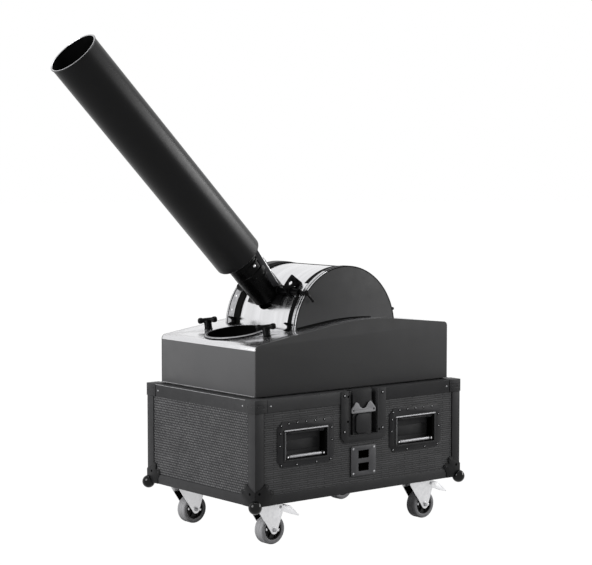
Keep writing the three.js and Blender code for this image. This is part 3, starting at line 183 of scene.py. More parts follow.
finishes = {
    "housingSide": powderCoat("greyPowderCoat", "434344", "494949"),
    # the sides' powder coat painted lighter for the front face, a painted sheen for the light that face catches
    "housingFrontPaintedSheen": powderCoat("paintedSheenPowderCoat", "515152", "59595a", 0.46),
    # satin paint on rolled tube: broad soft highlight along the barrel
    "barrel": blackEnamel("satinBlackPaint", "040405", "080809", 0.34, 0.13, 0.001, 0.25),
    "gloss": blackEnamel("glossBlackPaint", "030303", "060607", 0.28, 0.06, 0.03),
    # black coated steel, and also painted shade on the cheeks' strips and a painted dark reflection on the drum
    "pressing": blackEnamel("blackSteelAndPaintedShade", "262628", "2f2f30", 0.42),
    "boss": blackEnamel("dullBlackSteel", "303031", "363637", 0.5, 0.1),
    # a light strip laid along an edge as a painted highlight
    "edge": blackEnamel("paintedHighlightEdge", "8e8e90", "9e9ea0", 0.45, 0.2),
    "brace": blackEnamel("blackZincBrace", "121213", "19191a", 0.36),
    "strut": blackEnamel("darkGreyEnamel", "2c2c2e", "343436", 0.45),
    # near black: the lining of holes and bores, and also painted shade in gaps, on the socket's blades and edge and on
    # the fork legs' inner sides
    "inside": blackEnamel("blackLiningAndPaintedShade", "020202", "050505", 0.8, 0.02),
    "socketPlate": blackEnamel("greyCoatedPlate", "565658", "5e5e60", 0.45, 0.15),
    # grey coat of the latch hook, also the painted highlight strip in each handle recess
    "hook": blackEnamel("greyCoatedHookAndPaintedHighlight", "9c9c9f", "a6a6a8", 0.5, 0.2),
    "ball": blackEnamel("polishedBlackSteel", "020202", "050505", 0.1, 0.2, 0.005),
    # black anodised extrusion: a dull dye on drawn aluminium
    "extrusion": blackEnamel("blackAnodised", "333334", "383839", 0.5, 0.12, 0.02),
    "skin": brushedMetal("rolledAluminium", "d8d8da", "e4e4e6", 0.2, (0.02, 1, 0.02), 16, scratch=0.006),
    "deck": brushedMetal("polishedSteelSheet", "d6d6d8", "e0e0e2", 0.2, (0.03, 1, 1), scratch=0.002),
    "trim": brushedMetal("brightTrimStrip", "b4b4b6", "cacacc", 0.24, (1, 0.05, 1)),
    # bright zinc plate, and also the painted highlight along the saddle strut's edge
    "zinc": zincPlate("brightZincAndPaintedHighlight", "cfcfd1", "dededf", 0.36),
    "paleZinc": zincPlate("freshZincPlate", "dededf", "ececee", 0.4),
    # worn zinc, and also painted highlights: the bright middles of dark rivet heads and the light band round the
    # port's ring
    "gripZinc": zincPlate("wornZincAndPaintedHighlight", "8a8a8c", "9c9c9e", 0.5),
    "dullZinc": zincPlate("dullZincPlate", "8a8a8c", "a0a0a2", 0.5),
    "fanZinc": zincPlate("galvanisedSheet", "a8a9ab", "bcbdbf", 0.42),
    # solid tyre of grey thermoplastic rubber: matt, with faint moulding dust
    "tyre": powderCoat("greyTyreRubber", "969698", "a8a8aa", 0.72),
    # black seal rubber, and also the painted shadow along each cheek's foot
    "band": powderCoat("blackSealAndPaintedShadow", "030303", "070707", 0.7, 0.04),
    "hub": powderCoat("blackMouldedPlastic", "070708", "0c0c0d", 0.45, 0.2),
    "fanCoat": powderCoat("greyFanCoat", "646566", "707172", 0.5),
    "motor": powderCoat("blackMotorCoat", "1c1d1f", "232426", 0.45),
    # the end boards' dashes are painted lighter and their ground darker than the long sides', painted light and shade
    # for the stronger light on the ends
    "laminate": pressedLaminate("pressedLaminate", 7.0, 6.5, 3.1, "6a6a6b", "575759", "232324"),
    "longLaminate": pressedLaminate("lineLaminate", 55.0, 5.5, 2.6, "585859", "4a4a4b", "363637"),
}
print("finishes made:", len(finishes))


def paint(piece, finish):
    piece.data.materials.clear()
    piece.data.materials.append(finishes[finish])
    return piece


def discard(*pieces):
    for piece in pieces:
        bpy.data.objects.remove(piece)


def polar(radius, angle, centre=(0, 0)):  # angle in degrees
    a = math.radians(angle)
    return centre[0] + radius * math.cos(a), centre[1] + radius * math.sin(a)


# selects these pieces only, the first one active
def pickUp(*pieces):
    if bpy.context.object and bpy.context.object.mode == "EDIT":
        bpy.ops.object.mode_set(mode="OBJECT")
    bpy.ops.object.select_all(action="DESELECT")
    for piece in pieces:
        piece.select_set(True)
    bpy.context.view_layer.objects.active = pieces[0] if pieces else None


# a point from its two coordinates across an axis and its place along it
def at(axis, u, v, along):
    return {"x": (along, u, v), "y": (u, along, v), "z": (u, v, along)}[axis]


# a plane merged to one point, then extruded from point to point
def drawLine(points, filled):
    pickUp()
    points = [Vector(p) * mm for p in points]
    bpy.ops.mesh.primitive_plane_add(size=mm)
    bpy.ops.object.mode_set(mode="EDIT")
    bpy.ops.mesh.merge(type="CENTER")
    bpy.ops.transform.translate(value=points[0])
    for here, there in zip(points, points[1:]):
        bpy.ops.mesh.extrude_region_move(TRANSFORM_OT_translate={"value": there - here})
    bpy.ops.mesh.select_all(action="SELECT")
    if filled:
        bpy.ops.mesh.edge_face_add()
    return bpy.context.object


# merges near points of the active piece, and turns its faces outwards
def setOutwards(merge=0):
    bpy.ops.object.mode_set(mode="EDIT")
    bpy.ops.mesh.select_all(action="SELECT")
    if merge:
        bpy.ops.mesh.remove_doubles(threshold=merge * mm)
    bpy.ops.mesh.normals_make_consistent(inside=False)
    bpy.ops.object.mode_set(mode="OBJECT")


def closeUp(finish, merge=0.002):  # ends the edit
    setOutwards(merge)
    return paint(bpy.context.object, finish)


# a flat outline pushed along an axis
def plate(outline, axis, start, end, finish):
    start, end = sorted((start, end))
    drawLine([at(axis, u, v, start) for u, v in outline], True)
    push = Vector(at(axis, 0, 0, end - start)) * mm
    bpy.ops.mesh.extrude_region_move(TRANSFORM_OT_translate={"value": push})
    return closeUp(finish, 0)


def block(one, other, finish):  # between two opposite corners
    pickUp()
    middle = [(a + b) / 2 * mm for a, b in zip(one, other)]
    sizes = [abs(b - a) * mm for a, b in zip(one, other)]
    bpy.ops.mesh.primitive_cube_add(size=1, location=middle, scale=sizes)
    bpy.ops.object.transform_apply(location=True, rotation=True, scale=True)
    return paint(bpy.context.object, finish)


# a profile of (radius, along) pairs spun round an axis through centre, from one angle on
def spun(profile, axis, centre, finish, steps=48, sweep=360, start=0):
    drawLine([at(axis, *polar(r, start, centre), a) for r, a in profile], sweep < 360)
    turn = {"x": -1, "y": 1, "z": -1}[axis]  # with no window the spin turns left-handed
    bpy.ops.mesh.spin(steps=steps, angle=math.radians(sweep) * turn, center=Vector(at(axis, *centre, 0)) * mm,
                      axis=at(axis, 0, 0, 1))
    return closeUp(finish)


def roundBar(axis, centre, radius, start, end, finish, steps=24, edge=0.6):
    start, end = sorted((start, end))
    edge = min(edge, radius / 3, (end - start) / 4)
    return spun([(0, start), (radius - edge, start), (radius, start + edge), (radius, end - edge),
                 (radius - edge, end), (0, end)], axis, centre, finish, steps)


def modified(piece, kind, **settings):
    pickUp(piece)
    bpy.ops.object.modifier_add(type=kind)
    change = piece.modifiers[-1]
    for key, value in settings.items():
        setattr(change, key, value)
    bpy.ops.object.modifier_apply(modifier=change.name)
    return piece


def cutOut(piece, *tools):
    for tool in tools:
        modified(piece, "BOOLEAN", operation="DIFFERENCE", solver="EXACT", object=tool)
        discard(tool)
    return piece


# rounds the sharp edges and shades the rest smooth
def soften(piece, width=0.5, segments=2, angle=28):
    modified(piece, "BEVEL", width=width * mm, segments=segments, limit_method="ANGLE",
             angle_limit=math.radians(angle))
    return smooth(piece, angle + 4)


def smooth(piece, angle=32):
    pickUp(piece)
    bpy.ops.object.shade_smooth_by_angle(angle=math.radians(angle))
    return piece


def fuse(*pieces):  # one object from several, each part keeps its finish
    pickUp(*pieces)
    bpy.ops.object.join()
    return bpy.context.object


def moved(piece, move=(0, 0, 0), turn=(0, 0, 0), flip=(1, 1, 1)):
    pickUp(piece)
    piece.scale = flip
    piece.rotation_euler = [math.radians(a) for a in turn]
    piece.location = Vector(move) * mm
    bpy.ops.object.transform_apply(location=True, rotation=True, scale=True)
    if flip[0] * flip[1] * flip[2] < 0:
        setOutwards()
    return piece


def copied(piece, *way, **ways):  # with its own mesh, then moved
    pickUp(piece)
    bpy.ops.object.duplicate(linked=False)
    return moved(bpy.context.object, *way, **ways)


def shifted(outline, du, dv):
    return [(du + u, dv + v) for u, v in outline]


def mirrored(half):  # a profile with its mirror image before it
    return [(r, -a) for r, a in reversed(half) if a] + half


# the same piece at many places, joined to one
def scattered(piece, places):
    several = [copied(piece, place) for place in places]
    discard(piece)
    return fuse(*several)


# a CAD node's mesh merged to whole faces, so that its edges can be rounded
def fromSolid(node, finish, width=0.5):
    piece = bpy.data.objects.new(node + "Dressed", solids[node].data.copy())
    scene.collection.objects.link(piece)
    pickUp(piece)
    if piece.data.has_custom_normals:
        bpy.ops.mesh.customdata_custom_splitnormals_clear()
    bpy.ops.object.mode_set(mode="EDIT")
    bpy.ops.mesh.select_all(action="SELECT")
    bpy.ops.mesh.remove_doubles(threshold=0.02 * mm)
    bpy.ops.mesh.dissolve_limited(angle_limit=math.radians(0.5))
    bpy.ops.object.mode_set(mode="OBJECT")
    paint(piece, finish)
    for face in piece.data.polygons:
        face.material_index = 0
    return soften(piece, width)


def finished(piece, name, body, slot, *nodes):
    piece.name = piece.data.name = name
    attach(piece, body)
    if nodes:
        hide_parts(*nodes)
    return piece


# a CAD node with rounded edges and its small parts, in its place
def dressNode(node, finish, width, name, slot, *extras, body="case"):
    piece = fromSolid(node, finish, width)
    return finished(fuse(piece, *extras) if extras else piece, name, body, slot, node)


def circle(radius, start, end, steps, centre=(0, 0)):
    return [polar(radius, start + (end - start) * i / steps, centre) for i in range(steps + 1)]


def roundedBox(u0, u1, v0, v1, radius):
    r = radius
    centres = ((u0 + r, v0 + r), (u1 - r, v0 + r), (u1 - r, v1 - r), (u0 + r, v1 - r))
    return [p for i, c in enumerate(centres) for p in circle(r, 180 + 90 * i, 270 + 90 * i, 5, c)]


# a low dome head, which stands on the place and looks along the axis or against it
rivet = {"radius": 2.6, "height": 1.2, "sunk": 0.4, "sides": 12}


def rivetHead(axis, way, finish="zinc", radius=rivet["radius"], height=rivet["height"], place=(0, 0, 0)):
    foot = -rivet["sunk"] * way
    top = height * way
    profile = [(0, top), (radius * 0.55, top * 0.82), (radius * 0.88, top * 0.45), (radius, 0), (radius, foot),
               (0, foot)]
    return moved(smooth(spun(profile, axis, (0, 0), finish, rivet["sides"]), 60), place)


def flangedRivets(spots, flange, head, height):  # a dark flange with a bright middle on the head, a painted highlight
    return fuse(scattered(rivetHead("y", -1, "gloss", flange, 0.6), spots),
                scattered(rivetHead("y", -1, "gripZinc", head, height), spots))


sideTurns = {"front": 0, "rear": 180}  # the rear long side is the front one turned half way round
sides = {"front": -1, "rear": 1}
ends = {"left": -1, "right": 1}

# the case: laminated boards are the CAD nodes, the extrusions get rounded edges
case = {"halfLength": 350, "halfWidth": 233.5, "edge": 0.7, "foot": 25, "capFoot": 232, "top": 264, "rivetZ": 248,
        "ribs": (241, 255)}


def dressCase():
    for name in ("floor_board", "front_board", "rear_board", "left_end_board", "right_end_board"):
        paint(solids[name], "laminate" if "end" in name else "longLaminate")
    x, y, width = case["halfLength"], case["halfWidth"], case["edge"]
    for rim in ("top", "bottom"):
        dressNode(f"{rim}_rim", "extrusion", width, f"{rim}RimDressed", "black_trim")
    for side, end in product(sides, ends):
        node = f"{side}_{end}_corner_angle"
        dressNode(node, "extrusion", width, node + "_dressed", "black_trim")
    foot, cap, top, z = case["foot"], case["capFoot"], case["top"], case["rivetZ"]
    heads = []
    ribs = []
    for axis, sx, sy in product("yx", (-1, 1), (-1, 1)):
        way, finish, radius = (sy, "dullZinc", 2.2) if axis == "y" else (sx, "gripZinc", 2.6)

        def place(inset, out, height):  # in from the corner's edge, and out from the face
            dx, dy = (-inset, out) if axis == "y" else (out, -inset)
            return sx * (x + dx), sy * (y + dy), height

        heads.append(rivetHead(axis, way, finish, radius, place=place(50, 0, z)))
        # the shadow gaps beside the cap and the corner angle
        for inset, gap, low, high, sunk in ((38, 1.4, cap, top, 0.2), (28, 1.6, foot, cap, -1.3)):
            ribs.append(block(place(inset, sunk - 0.2, low), place(inset + gap, sunk + 0.2, high), "inside"))
        # the cap's two pressed ribs, and the rivets between them
        for v in case["ribs"]:
            ribs.append(soften(block(place(6, 0.6, v - 1.6), place(32, 1.8, v + 1.6), "extrusion")))
        for inset in (9, 29):
            heads.append(rivetHead(axis, way, "extrusion", 2.2, 1, place(inset, 1.2, z)))
    for sx in ends.values():  # a painted highlight along the rim's upper edge
        ribs.append(block((sx * (x - 0.9), 8 - y, top - 0.9), (sx * (x + 0.3), y - 8, top + 0.3), "edge"))
    finished(fuse(*ribs), "cornerCapRibs", "case", "black_trim")
    finished(fuse(*heads), "rimRivets", "case", "bail_zinc")
    print("case dressed")


# corner balls: a polished ball between two pressed braces with a lobe and a rivet at each end
corner = {"face": (350.3, 233.8), "thickness": 1.2, "ball": 17, "inset": 2, "lobes": ((35, 49), (51, 31)), "lobe": 7.5}


def braceOutline():
    r = corner["lobe"]
    upper, outer = corner["lobes"]
    return ([(-1.2, 0), (-1.2, 36), (20, 46)] + circle(r, 150, -20, 10, upper) + [(39, 38)] +
            circle(r, 110, -30, 10, outer) + [(49, 14), (49, 0)])


def makeCorners():
    cx, cy = corner["face"]
    t = corner["thickness"]
    outline = braceOutline()
    onSide = plate(shifted(outline, -cx, 0), "y", -cy - t, -cy, "brace")
    onEnd = plate(shifted(outline, -cy, 0), "x", -cx - t, -cx, "brace")
    spots = [(u, v, "pressing", 3, 1.4) for u, v in corner["lobes"]]
    heads = [rivetHead("y", -1, *look, place=(-cx + u, -cy - t, v))
             for u, v, *look in spots + [(13, 33, "inside", 3.6, 0.8)]]
    heads += [rivetHead("x", -1, *look, place=(-cx - t, -cy + u, v))
              for u, v, *look in spots + [(20, 31, "inside", 3.6, 0.8)]]

    def clear(piece):  # the case's own corner stays free
        return cutOut(piece, block((-cx, -cy, -0.3), (0, 0, 90), "ball"))

    pickUp()
    bx, by = -cx + corner["inset"], -cy + corner["inset"]
    bpy.ops.mesh.primitive_uv_sphere_add(segments=48, ring_count=24, radius=corner["ball"] * mm,
                                         location=(bx * mm, by * mm, 0))
    bpy.ops.object.transform_apply(location=True)
    ball = clear(paint(bpy.context.object, "ball"))
    collar = [(11, -cx - 3.2), (13.4, -cx - 3.2), (14.6, -cx - 1), (11, -cx - 1)]
    collar = clear(spun(collar, "x", (by, 0), "pressing", 32))
    whole = fuse(soften(onSide, 0.4), soften(onEnd, 0.4), *heads, smooth(ball, 40), smooth(collar))
    for (side, sy), (end, sx) in product(sides.items(), ends.items()):
        name = f"{side}_{end}_corner"
        finished(copied(whole, flip=(-sx, -sy, 1)), f"{name}_dressed", "case", "ball_steel", f"{name}_ball")
    discard(whole)
    print("corner balls made")


# recessed handles, made for the front left one
handle = {"x": -187, "front": -233.2, "recess": (-255, -119, 107, 180), "hinge": (-228.2, 175), "gripZ": 114.5,
          "step": 374, "arms": ((-253, -250), (-124, -121)), "blocks": ((-250, -240), (-134, -124)),
          "rivets": ((-80, 195), (-56, 199), (-28, 200), (1, 200), (30, 200), (60, 200), (84, 177), (85, 145),
                     (-82, 176), (-84, 145), (-80, 96), (-30, 94), (34, 94), (80, 97)),
          "springs": (-246, -142), "coils": 9, "coilPitch": 1.7}


def makeHandles():
    h = handle
    x0, x1, z0, z1 = h["recess"]
    front = h["front"]
    bead = plate(roundedBox(x0 - 5, x1 + 5, z0 - 5, z1 + 5, 5), "y", front - 1.3, front + 0.4, "pressing")
    bead = soften(cutOut(bead, block((x0, front - 9, z0), (x1, front + 9, z1), "pressing")))
    heads = flangedRivets([(h["x"] + u, front, z) for u, z in h["rivets"]], 4.2, 1.9, 1)
    # the rolled lip over the recess, a black band at its right that is painted shade, and a light strip at its left
    # that is a painted highlight
    lip = smooth(roundBar("x", (front - 0.6, 181.5), 2, x0 - 3, x1 + 3, "gripZinc", 20))
    paintedHighlightStrip = soften(block((x0 + 1, front - 0.2, z0 + 2), (x0 + 2.6, front + 0.6, z1 - 2), "hook"), 0.3)
    shade = block((x1 - 7, front + 0.2, z0 + 1), (x1 - 0.2, -213, z1 - 1), "inside")
    # the pressed stiffening rib across the back of the recess
    rib = soften(plate(roundedBox(x0 + 14, x1 - 14, z0 + 20, z1 - 26, 4), "y", -213.4, -212.2, "boss"))
    # the bail: hinge rod, two flat arms, a bright grip between black end blocks
    hinge, gripZ = h["hinge"], h["gripZ"]
    grip = (hinge[0], gripZ)
    bail = [roundBar("x", hinge, 3, -256.2, -117.8, "pressing", 20)]
    arm = circle(4, 0, 180, 8, hinge) + circle(4, 180, 360, 8, grip)
    bail += [soften(plate(arm, "x", lo, hi, "pressing")) for lo, hi in h["arms"]]
    bail.append(spun([(0, -250), (2.6, -250), (2.6, -240), (3.6, -239), (4.1, -236), (4.1, -137), (3.6, -134),
                      (2.6, -133), (2.6, -124), (0, -124)], "x", grip, "gripZinc", 28))
    for lo, hi in h["blocks"]:
        bail.append(roundBar("x", grip, 5.5, lo, hi, "hub", 24, 1.2))
        bail.append(rivetHead("y", -1, "zinc", 2.2, 0.8, ((lo + hi) / 2, hinge[0] - 5.2, gripZ)))
    # two return springs on the hinge rod
    coil = smooth(spun(circle(0.7, 0, 360, 6, (3.9, 0))[:-1] + [(4.6, 0)], "x", hinge, "strut", 14), 60)
    springs = scattered(coil, [(x + h["coilPitch"] * i, 0, 0) for x, i in product(h["springs"], range(h["coils"]))])
    bail = fuse(*[smooth(b, 40) for b in bail], springs)
    fixed = fuse(bead, heads, lip, paintedHighlightStrip, shade, rib)
    for (side, turn), (end, step) in product(sideTurns.items(), (("left", 0), ("right", h["step"]))):
        name = f"{side}_{end}"
        first, second = [moved(copied(piece, (step, 0, 0)), turn=(0, 0, turn)) for piece in (fixed, bail)]
        dressNode(f"{name}_handle_dish", "pressing", 0.35, f"{name}_handle_dressed", "black_steel", first)
        finished(second, f"{name}_bail_dressed", f"{name}_handle_bail", "bail_zinc", f"{name}_handle_bail")
    discard(fixed, bail)
    print("handles made")


# turn latches
latch = {"x": 4, "front": -235, "hookBase": 205, "wing": 177}


def makeLatches():
    x, f, base = latch["x"], latch["front"], latch["hookBase"]
    heads = flangedRivets([(x + s * 65, f, z) for s, z in product((-1, 1), (160, 253))], 5, 2.4, 1.4)
    screws = scattered(rivetHead("y", -1, "inside", 3.2, 0.5), [(x - 54, f, 186), (x + 53, f, 157), (x - 53, f, 250)])
    bead = [(-50, 264), (-50, 150), (-46, 146), (46, 146), (50, 150), (50, 264), (47, 264), (47, 149), (-47, 149),
            (-47, 264)]
    bead = plate(shifted(bead, x, 0), "y", f - 0.9, f + 0.3, "pressing")
    fixed = fuse(heads, screws, soften(bead, 0.4))
    # the hook: two horns with a round notch between them and a hole at each end of its base
    right = ([(0, base)] + circle(3.5, 270, 360, 4, (37.5, base + 3.5)) + [(41, base + 10)] +
             circle(4, 20, 160, 6, (24.3, base + 24)))
    notch = circle(17, 0, -180, 14, (0, base + 28))
    outline = right + notch[1:-1] + [(-u, v) for u, v in reversed(right[1:])]
    hook = plate(shifted(outline, x, 0), "y", f, f + 3, "hook")
    hole = [(0, f - 3), (2.6, f - 3), (2.6, f + 6), (0, f + 6)]
    hook = cutOut(hook, *[spun(hole, "y", (x + s * 34.5, base + 7), "inside", 16) for s in (-1, 1)])
    tail = plate(roundedBox(x - 17, x + 17, base - 22, base + 4, 3), "y", f + 3.8, f + 6.1, "boss")
    link = block((x - 16, f + 2.5, base + 0.5), (x + 16, f + 4.5, base + 6), "hook")
    hook = fuse(soften(hook), soften(tail, 0.4), link)
    # the wing plate, a square with cut corners, and its pin
    half, cut = 24.5, 6
    flat = half - cut
    shape = [(-flat, -half), (flat, -half), (half, -flat), (half, flat), (flat, half), (-flat, half), (-half, flat),
             (-half, -flat)]
    wing = plate(shifted(shape, x, latch["wing"]), "y", -234, -231.5, "boss")
    pin = roundBar("y", (x, latch["wing"]), 5, -232.5, -210, "boss", 24)
    wing = fuse(soften(wing, 0.3), smooth(pin))
    for side, turn in sideTurns.items():
        parts = copied(fixed, turn=(0, 0, turn))
        dressNode(f"{side}_latch_dish", "boss", 0.35, f"{side}_latch_dressed", "black_steel", parts)
        for piece, kind, slot in ((hook, "hook", "latch_zinc"), (wing, "wing", "black_steel")):
            node = f"{side}_latch_{kind}"
            finished(copied(piece, turn=(0, 0, turn)), f"{side}_{kind}_dressed", node, slot, node)
    discard(fixed, hook, wing)
    print("latches made")


# the socket plate with a black insert and three contact blades in each well, the blades painted as black as the shade
# in the well
socket = {"x": 4, "front": -235, "wells": (53.5, 86.5), "wide": 36, "high": 21, "blades": (-9, 0, 9)}


def makeSocketPlate():
    x, f = socket["x"], socket["front"]
    half, high = socket["wide"] / 2, socket["high"]
    parts = []
    for z in socket["wells"]:
        walls = []
        for inset, radius, start, end in ((0.05, 1, f + 1, -215.1), (1.4, 1.5, f - 5, -217)):
            outline = roundedBox(x - half + inset, x + half - inset, z + inset, z + high - inset, radius)
            walls.append(plate(outline, "y", start, end, "inside"))
        parts.append(smooth(cutOut(*walls)))
        # the blades are painted near black, as painted shade
        for u in socket["blades"]:
            parts.append(soften(block((x + u - 1, -225, z + 7), (x + u + 1, -216.5, z + 13), "inside"), 0.3))
    spots = [(x + s * 35.5, f, z) for s, z in product((-1, 1), (48.5, 112.5))]
    parts.append(scattered(rivetHead("y", -1, "dullZinc", 3.1, 1.2), spots))
    parts.append(block((x - 43.4, -232.6, 42), (x - 42, -232, 119), "inside"))  # a painted shadow along its left edge
    dressNode("socket_plate", "socketPlate", 0.5, "socketPlateDressed", "socket_grey", *parts)
    print("socket plate made")


# casters: the tyre, hub and bearing covers are spun, the pressings get rounded edges
caster = {"x": {"left": -273, "right": 247}, "y": 168, "trail": 19.5, "axle": -75, "radius": 37.5, "half": 16,
          "bolts": (39, 31), "nut": 5.4}


def makeWheel():
    r, h = caster["radius"], caster["half"]
    half = [(r, 0), (r, 4.6), (r - 0.7, 5), (r, 5.4), (r, h - 6.4)] + circle(5, 0, 80, 6, (r - 5, h - 5.2)) + \
        [(r - 8, h), (27.5, h), (26, h - 0.8), (25.6, h - 4)]
    tyre = smooth(spun(mirrored(half), "y", (0, 0), "tyre", 64), 40)
    side = [(25.6, 14.2), (25, 15.2), (23.6, 15.2), (22.8, 14.2), (22, 9.2), (13, 8.2), (11, 9.4), (10, 14.6),
            (8.8, 15.6), (4.3, 15.6)]
    hub = smooth(spun(side + [(a, -b) for a, b in reversed(side)] + [side[0]], "y", (0, 0), "hub", 64), 35)
    ribs = [moved(soften(block((9, way * 8, -1), (23.5, way * 13, 1), "hub"), 0.4), turn=(0, 60 * i, 0))
            for i, way in product(range(6), (-1, 1))]
    cover = [(4.3, 15.4), (8.6, 15.4), (9.4, 16), (8.2, 16.4), (5.4, 16.4), (4.3, 16.2), (4.3, 15.4)]
    covers = [smooth(spun([(a, way * b) for a, b in cover], "y", (0, 0), "zinc", 32), 35) for way in (-1, 1)]
    # two bright screw heads hold the hub's shells together
    caps = []
    for way, angle in product((-1, 1), (170, -10)):
        u, v = polar(19, angle)
        caps.append(rivetHead("y", way, "trim", 4.2, 1.2, (u, way * 13, v)))
    return fuse(tyre, hub, *ribs, *covers, *caps)


def makeCasters():
    wheel = makeWheel()
    nut = circle(caster["nut"], 0, 300, 5)
    bu, bv = caster["bolts"]
    for (side, sy), (end, x) in product(sides.items(), caster["x"].items()):
        y = sy * caster["y"]
        name = f"{side}_{end}"
        axle = (x + caster["trail"], caster["axle"])
        node = f"{name}_caster_wheel"
        finished(copied(wheel, (axle[0], y, axle[1])), f"{name}_wheel_dressed", node, "grey_rubber", node)
        inner = [(x - 26, -26), (x - 22, -33)] + circle(10, 215, 350, 10, axle) + [(x + 40, -38), (x + 40, -26)]
        extras = []
        for way in (-1, 1):  # a near black plate on the inner side of each fork leg, painted shade, and the axle's nut and washer outside
            extras.append(plate(inner, "y", y + way * 17.4, y + way * 17.7, "inside"))
            extras.append(soften(plate(shifted(nut, *axle), "y", y + way * 20, y + way * 24, "dullZinc")))
            extras.append(smooth(roundBar("y", axle, 7.4, y + way * 19.9, y + way * 20.8, "zinc", 24, 0.3)))
        node = f"{name}_caster_fork"
        dressNode(node, "zinc", 0.5, f"{name}_fork_dressed", "caster_zinc", *extras, body=node)
        bolts = [soften(plate(shifted(nut, x + u, y + v), "z", -7.2, -3.3, "zinc"))
                 for u, v in product((-bu, bu), (-bv, bv))]
        dressNode(f"{name}_caster_plate", "zinc", 0.5, f"{name}_top_plate_dressed", "caster_zinc", *bolts)
    discard(wheel)
    print("casters made")


# brake pedals: a bent tread between two deep flanges, made for a caster at x = 0
pedal = {"tread": [(40, -17.1), (48, -15.6), (77, -20.9), (108, -48.6), (105.4, -51), (76, -25.4), (47, -19),
                   (40, -20.1)],
         "flange": [(42, -17.4), (48, -15.8), (77, -21), (107.6, -48.4), (103, -50.6), (86, -44), (66, -37),
                    (46, -30)],
         "pin": (40, -18.6), "taper": (60, 108), "narrow": 0.3}


def makePedals():
    y = -caster["y"]
    parts = [plate(pedal["tread"], "y", y - 15, y + 15, "paleZinc")]
    parts += [plate(pedal["flange"], "y", y + w - 0.7, y + w + 0.7, "paleZinc") for w in (-14.3, 14.3)]
    tread = fuse(*[soften(part) for part in parts])
    start, end = pedal["taper"]
    for v in tread.data.vertices:  # the tread narrows towards its tip
        share = max(0, min(1, (v.co.x / mm - start) / (end - start)))
        v.co.y = (y + (v.co.y / mm - y) * (1 - pedal["narrow"] * share)) * mm
    ribs = [soften(block((84 + 6 * i, y - 9, -31.5 - 5.4 * i), (86 + 6 * i, y + 9, -26.4 - 5.4 * i), "zinc"))
            for i in range(3)]
    u, v = pedal["pin"]
    pin = smooth(roundBar("y", (u, v), 3, y - 20, y + 20, "dullZinc", 20))
    pinHeads = [rivetHead("y", w, "dullZinc", 4.2, 1.6, (u, y + w * 20, v)) for w in (-1, 1)]
    whole = fuse(tread, *ribs, pin, *pinHeads)
    for end, x in caster["x"].items():
        node = f"front_{end}_brake_pedal"
        finished(copied(whole, (x, 0, 0)), f"front_{end}_pedal_dressed", node, "caster_zinc", node)
    discard(whole)
    print("brake pedals made")


# the housing: two side plates with a rounded front corner, and the bright deck sunk between them
housing = {"x": (-324.3, 330.7), "y": (200.5, 203), "floor": 268, "rampX": -310.3, "rampZ": 397.6, "ramp": 8.3,
           "fall": 6.05, "rearTop": 418.5, "crest": 833, "rearRound": 11, "frontRound": 13.5, "farDrop": 1.8}


def topLine():
    h = housing
    ramp, fall = h["ramp"], h["fall"]
    x0, x1 = h["x"]
    up, down = math.tan(math.radians(ramp)), math.tan(math.radians(fall))
    meetX = (h["rearTop"] + down * x1 - h["rampZ"] + up * h["rampX"]) / (up + down)
    meet = (meetX, h["rampZ"] + up * (meetX - h["rampX"]))
    # the crest is an arc that touches the ramp and the fall
    start = polar(h["crest"] * math.tan(math.radians((ramp + fall) / 2)), 180 + ramp, meet)
    crest = circle(h["crest"], 90 + ramp, 90 - fall, 24, polar(h["crest"], ramp - 90, start))
    # the front corner is an arc that touches the front edge and the ramp
    cornerZ = h["rampZ"] - up * (h["rampX"] - x0)
    reach = h["frontRound"] * math.tan(math.radians((90 - ramp) / 2))
    front = circle(h["frontRound"], 180, 90 + ramp, 8, (x0 + h["frontRound"], cornerZ - reach))
    foot = h["rearTop"] + down * h["rearRound"] - h["rearRound"]
    return front + crest + circle(h["rearRound"], 90 - fall, 0, 8, (x1 - h["rearRound"], foot))


def makeHousing():
    h = housing
    for side, way in sides.items():
        drop = h["farDrop"] if way > 0 else 0  # the far side stands lower, so that the deck's bright edge shows
        outline = [(h["x"][0], h["floor"])] + [(u, v - drop) for u, v in topLine()] + [(h["x"][1], h["floor"])]
        piece = plate(outline, "y", *[way * y for y in h["y"]], "housingSide")
        finished(soften(piece, 0.7, 3), f"{side}_side_dressed", "case", "grey_sheet", f"{side}_housing_side")
    foot = block((-326.6, -200, 269), (-326, 200, 270.4), "edge")  # a painted highlight along the bend at the front sheet's foot
    # the front sheet gets the lighter copy of the coat, a painted sheen
    dressNode("housing_frame", "housingFrontPaintedSheen", 0.6, "housingFrameDressed", "grey_sheet", foot)
    dressNode("deck", "deck", 0.3, "deckDressed", "silver_sheet")
    print("housing made")


# drum, cheeks and their trims; angles run from +X up to +Z round the drum's axis
drum = {"centre": (17, 408), "skin": (164, 167), "half": 141.7, "from": -40, "sweep": 260, "seal": 167.8, "strip": 3.6,
        "face": 148, "seam": (-148, 110), "stubHole": 14.3, "hole": 40, "elevation": 45.6, "offset": 33.6}


def drumSolid(profile, finish, sweep, start, steps):  # profile of (radius, y) pairs
    return spun(profile, "y", drum["centre"], finish, steps, sweep, start)


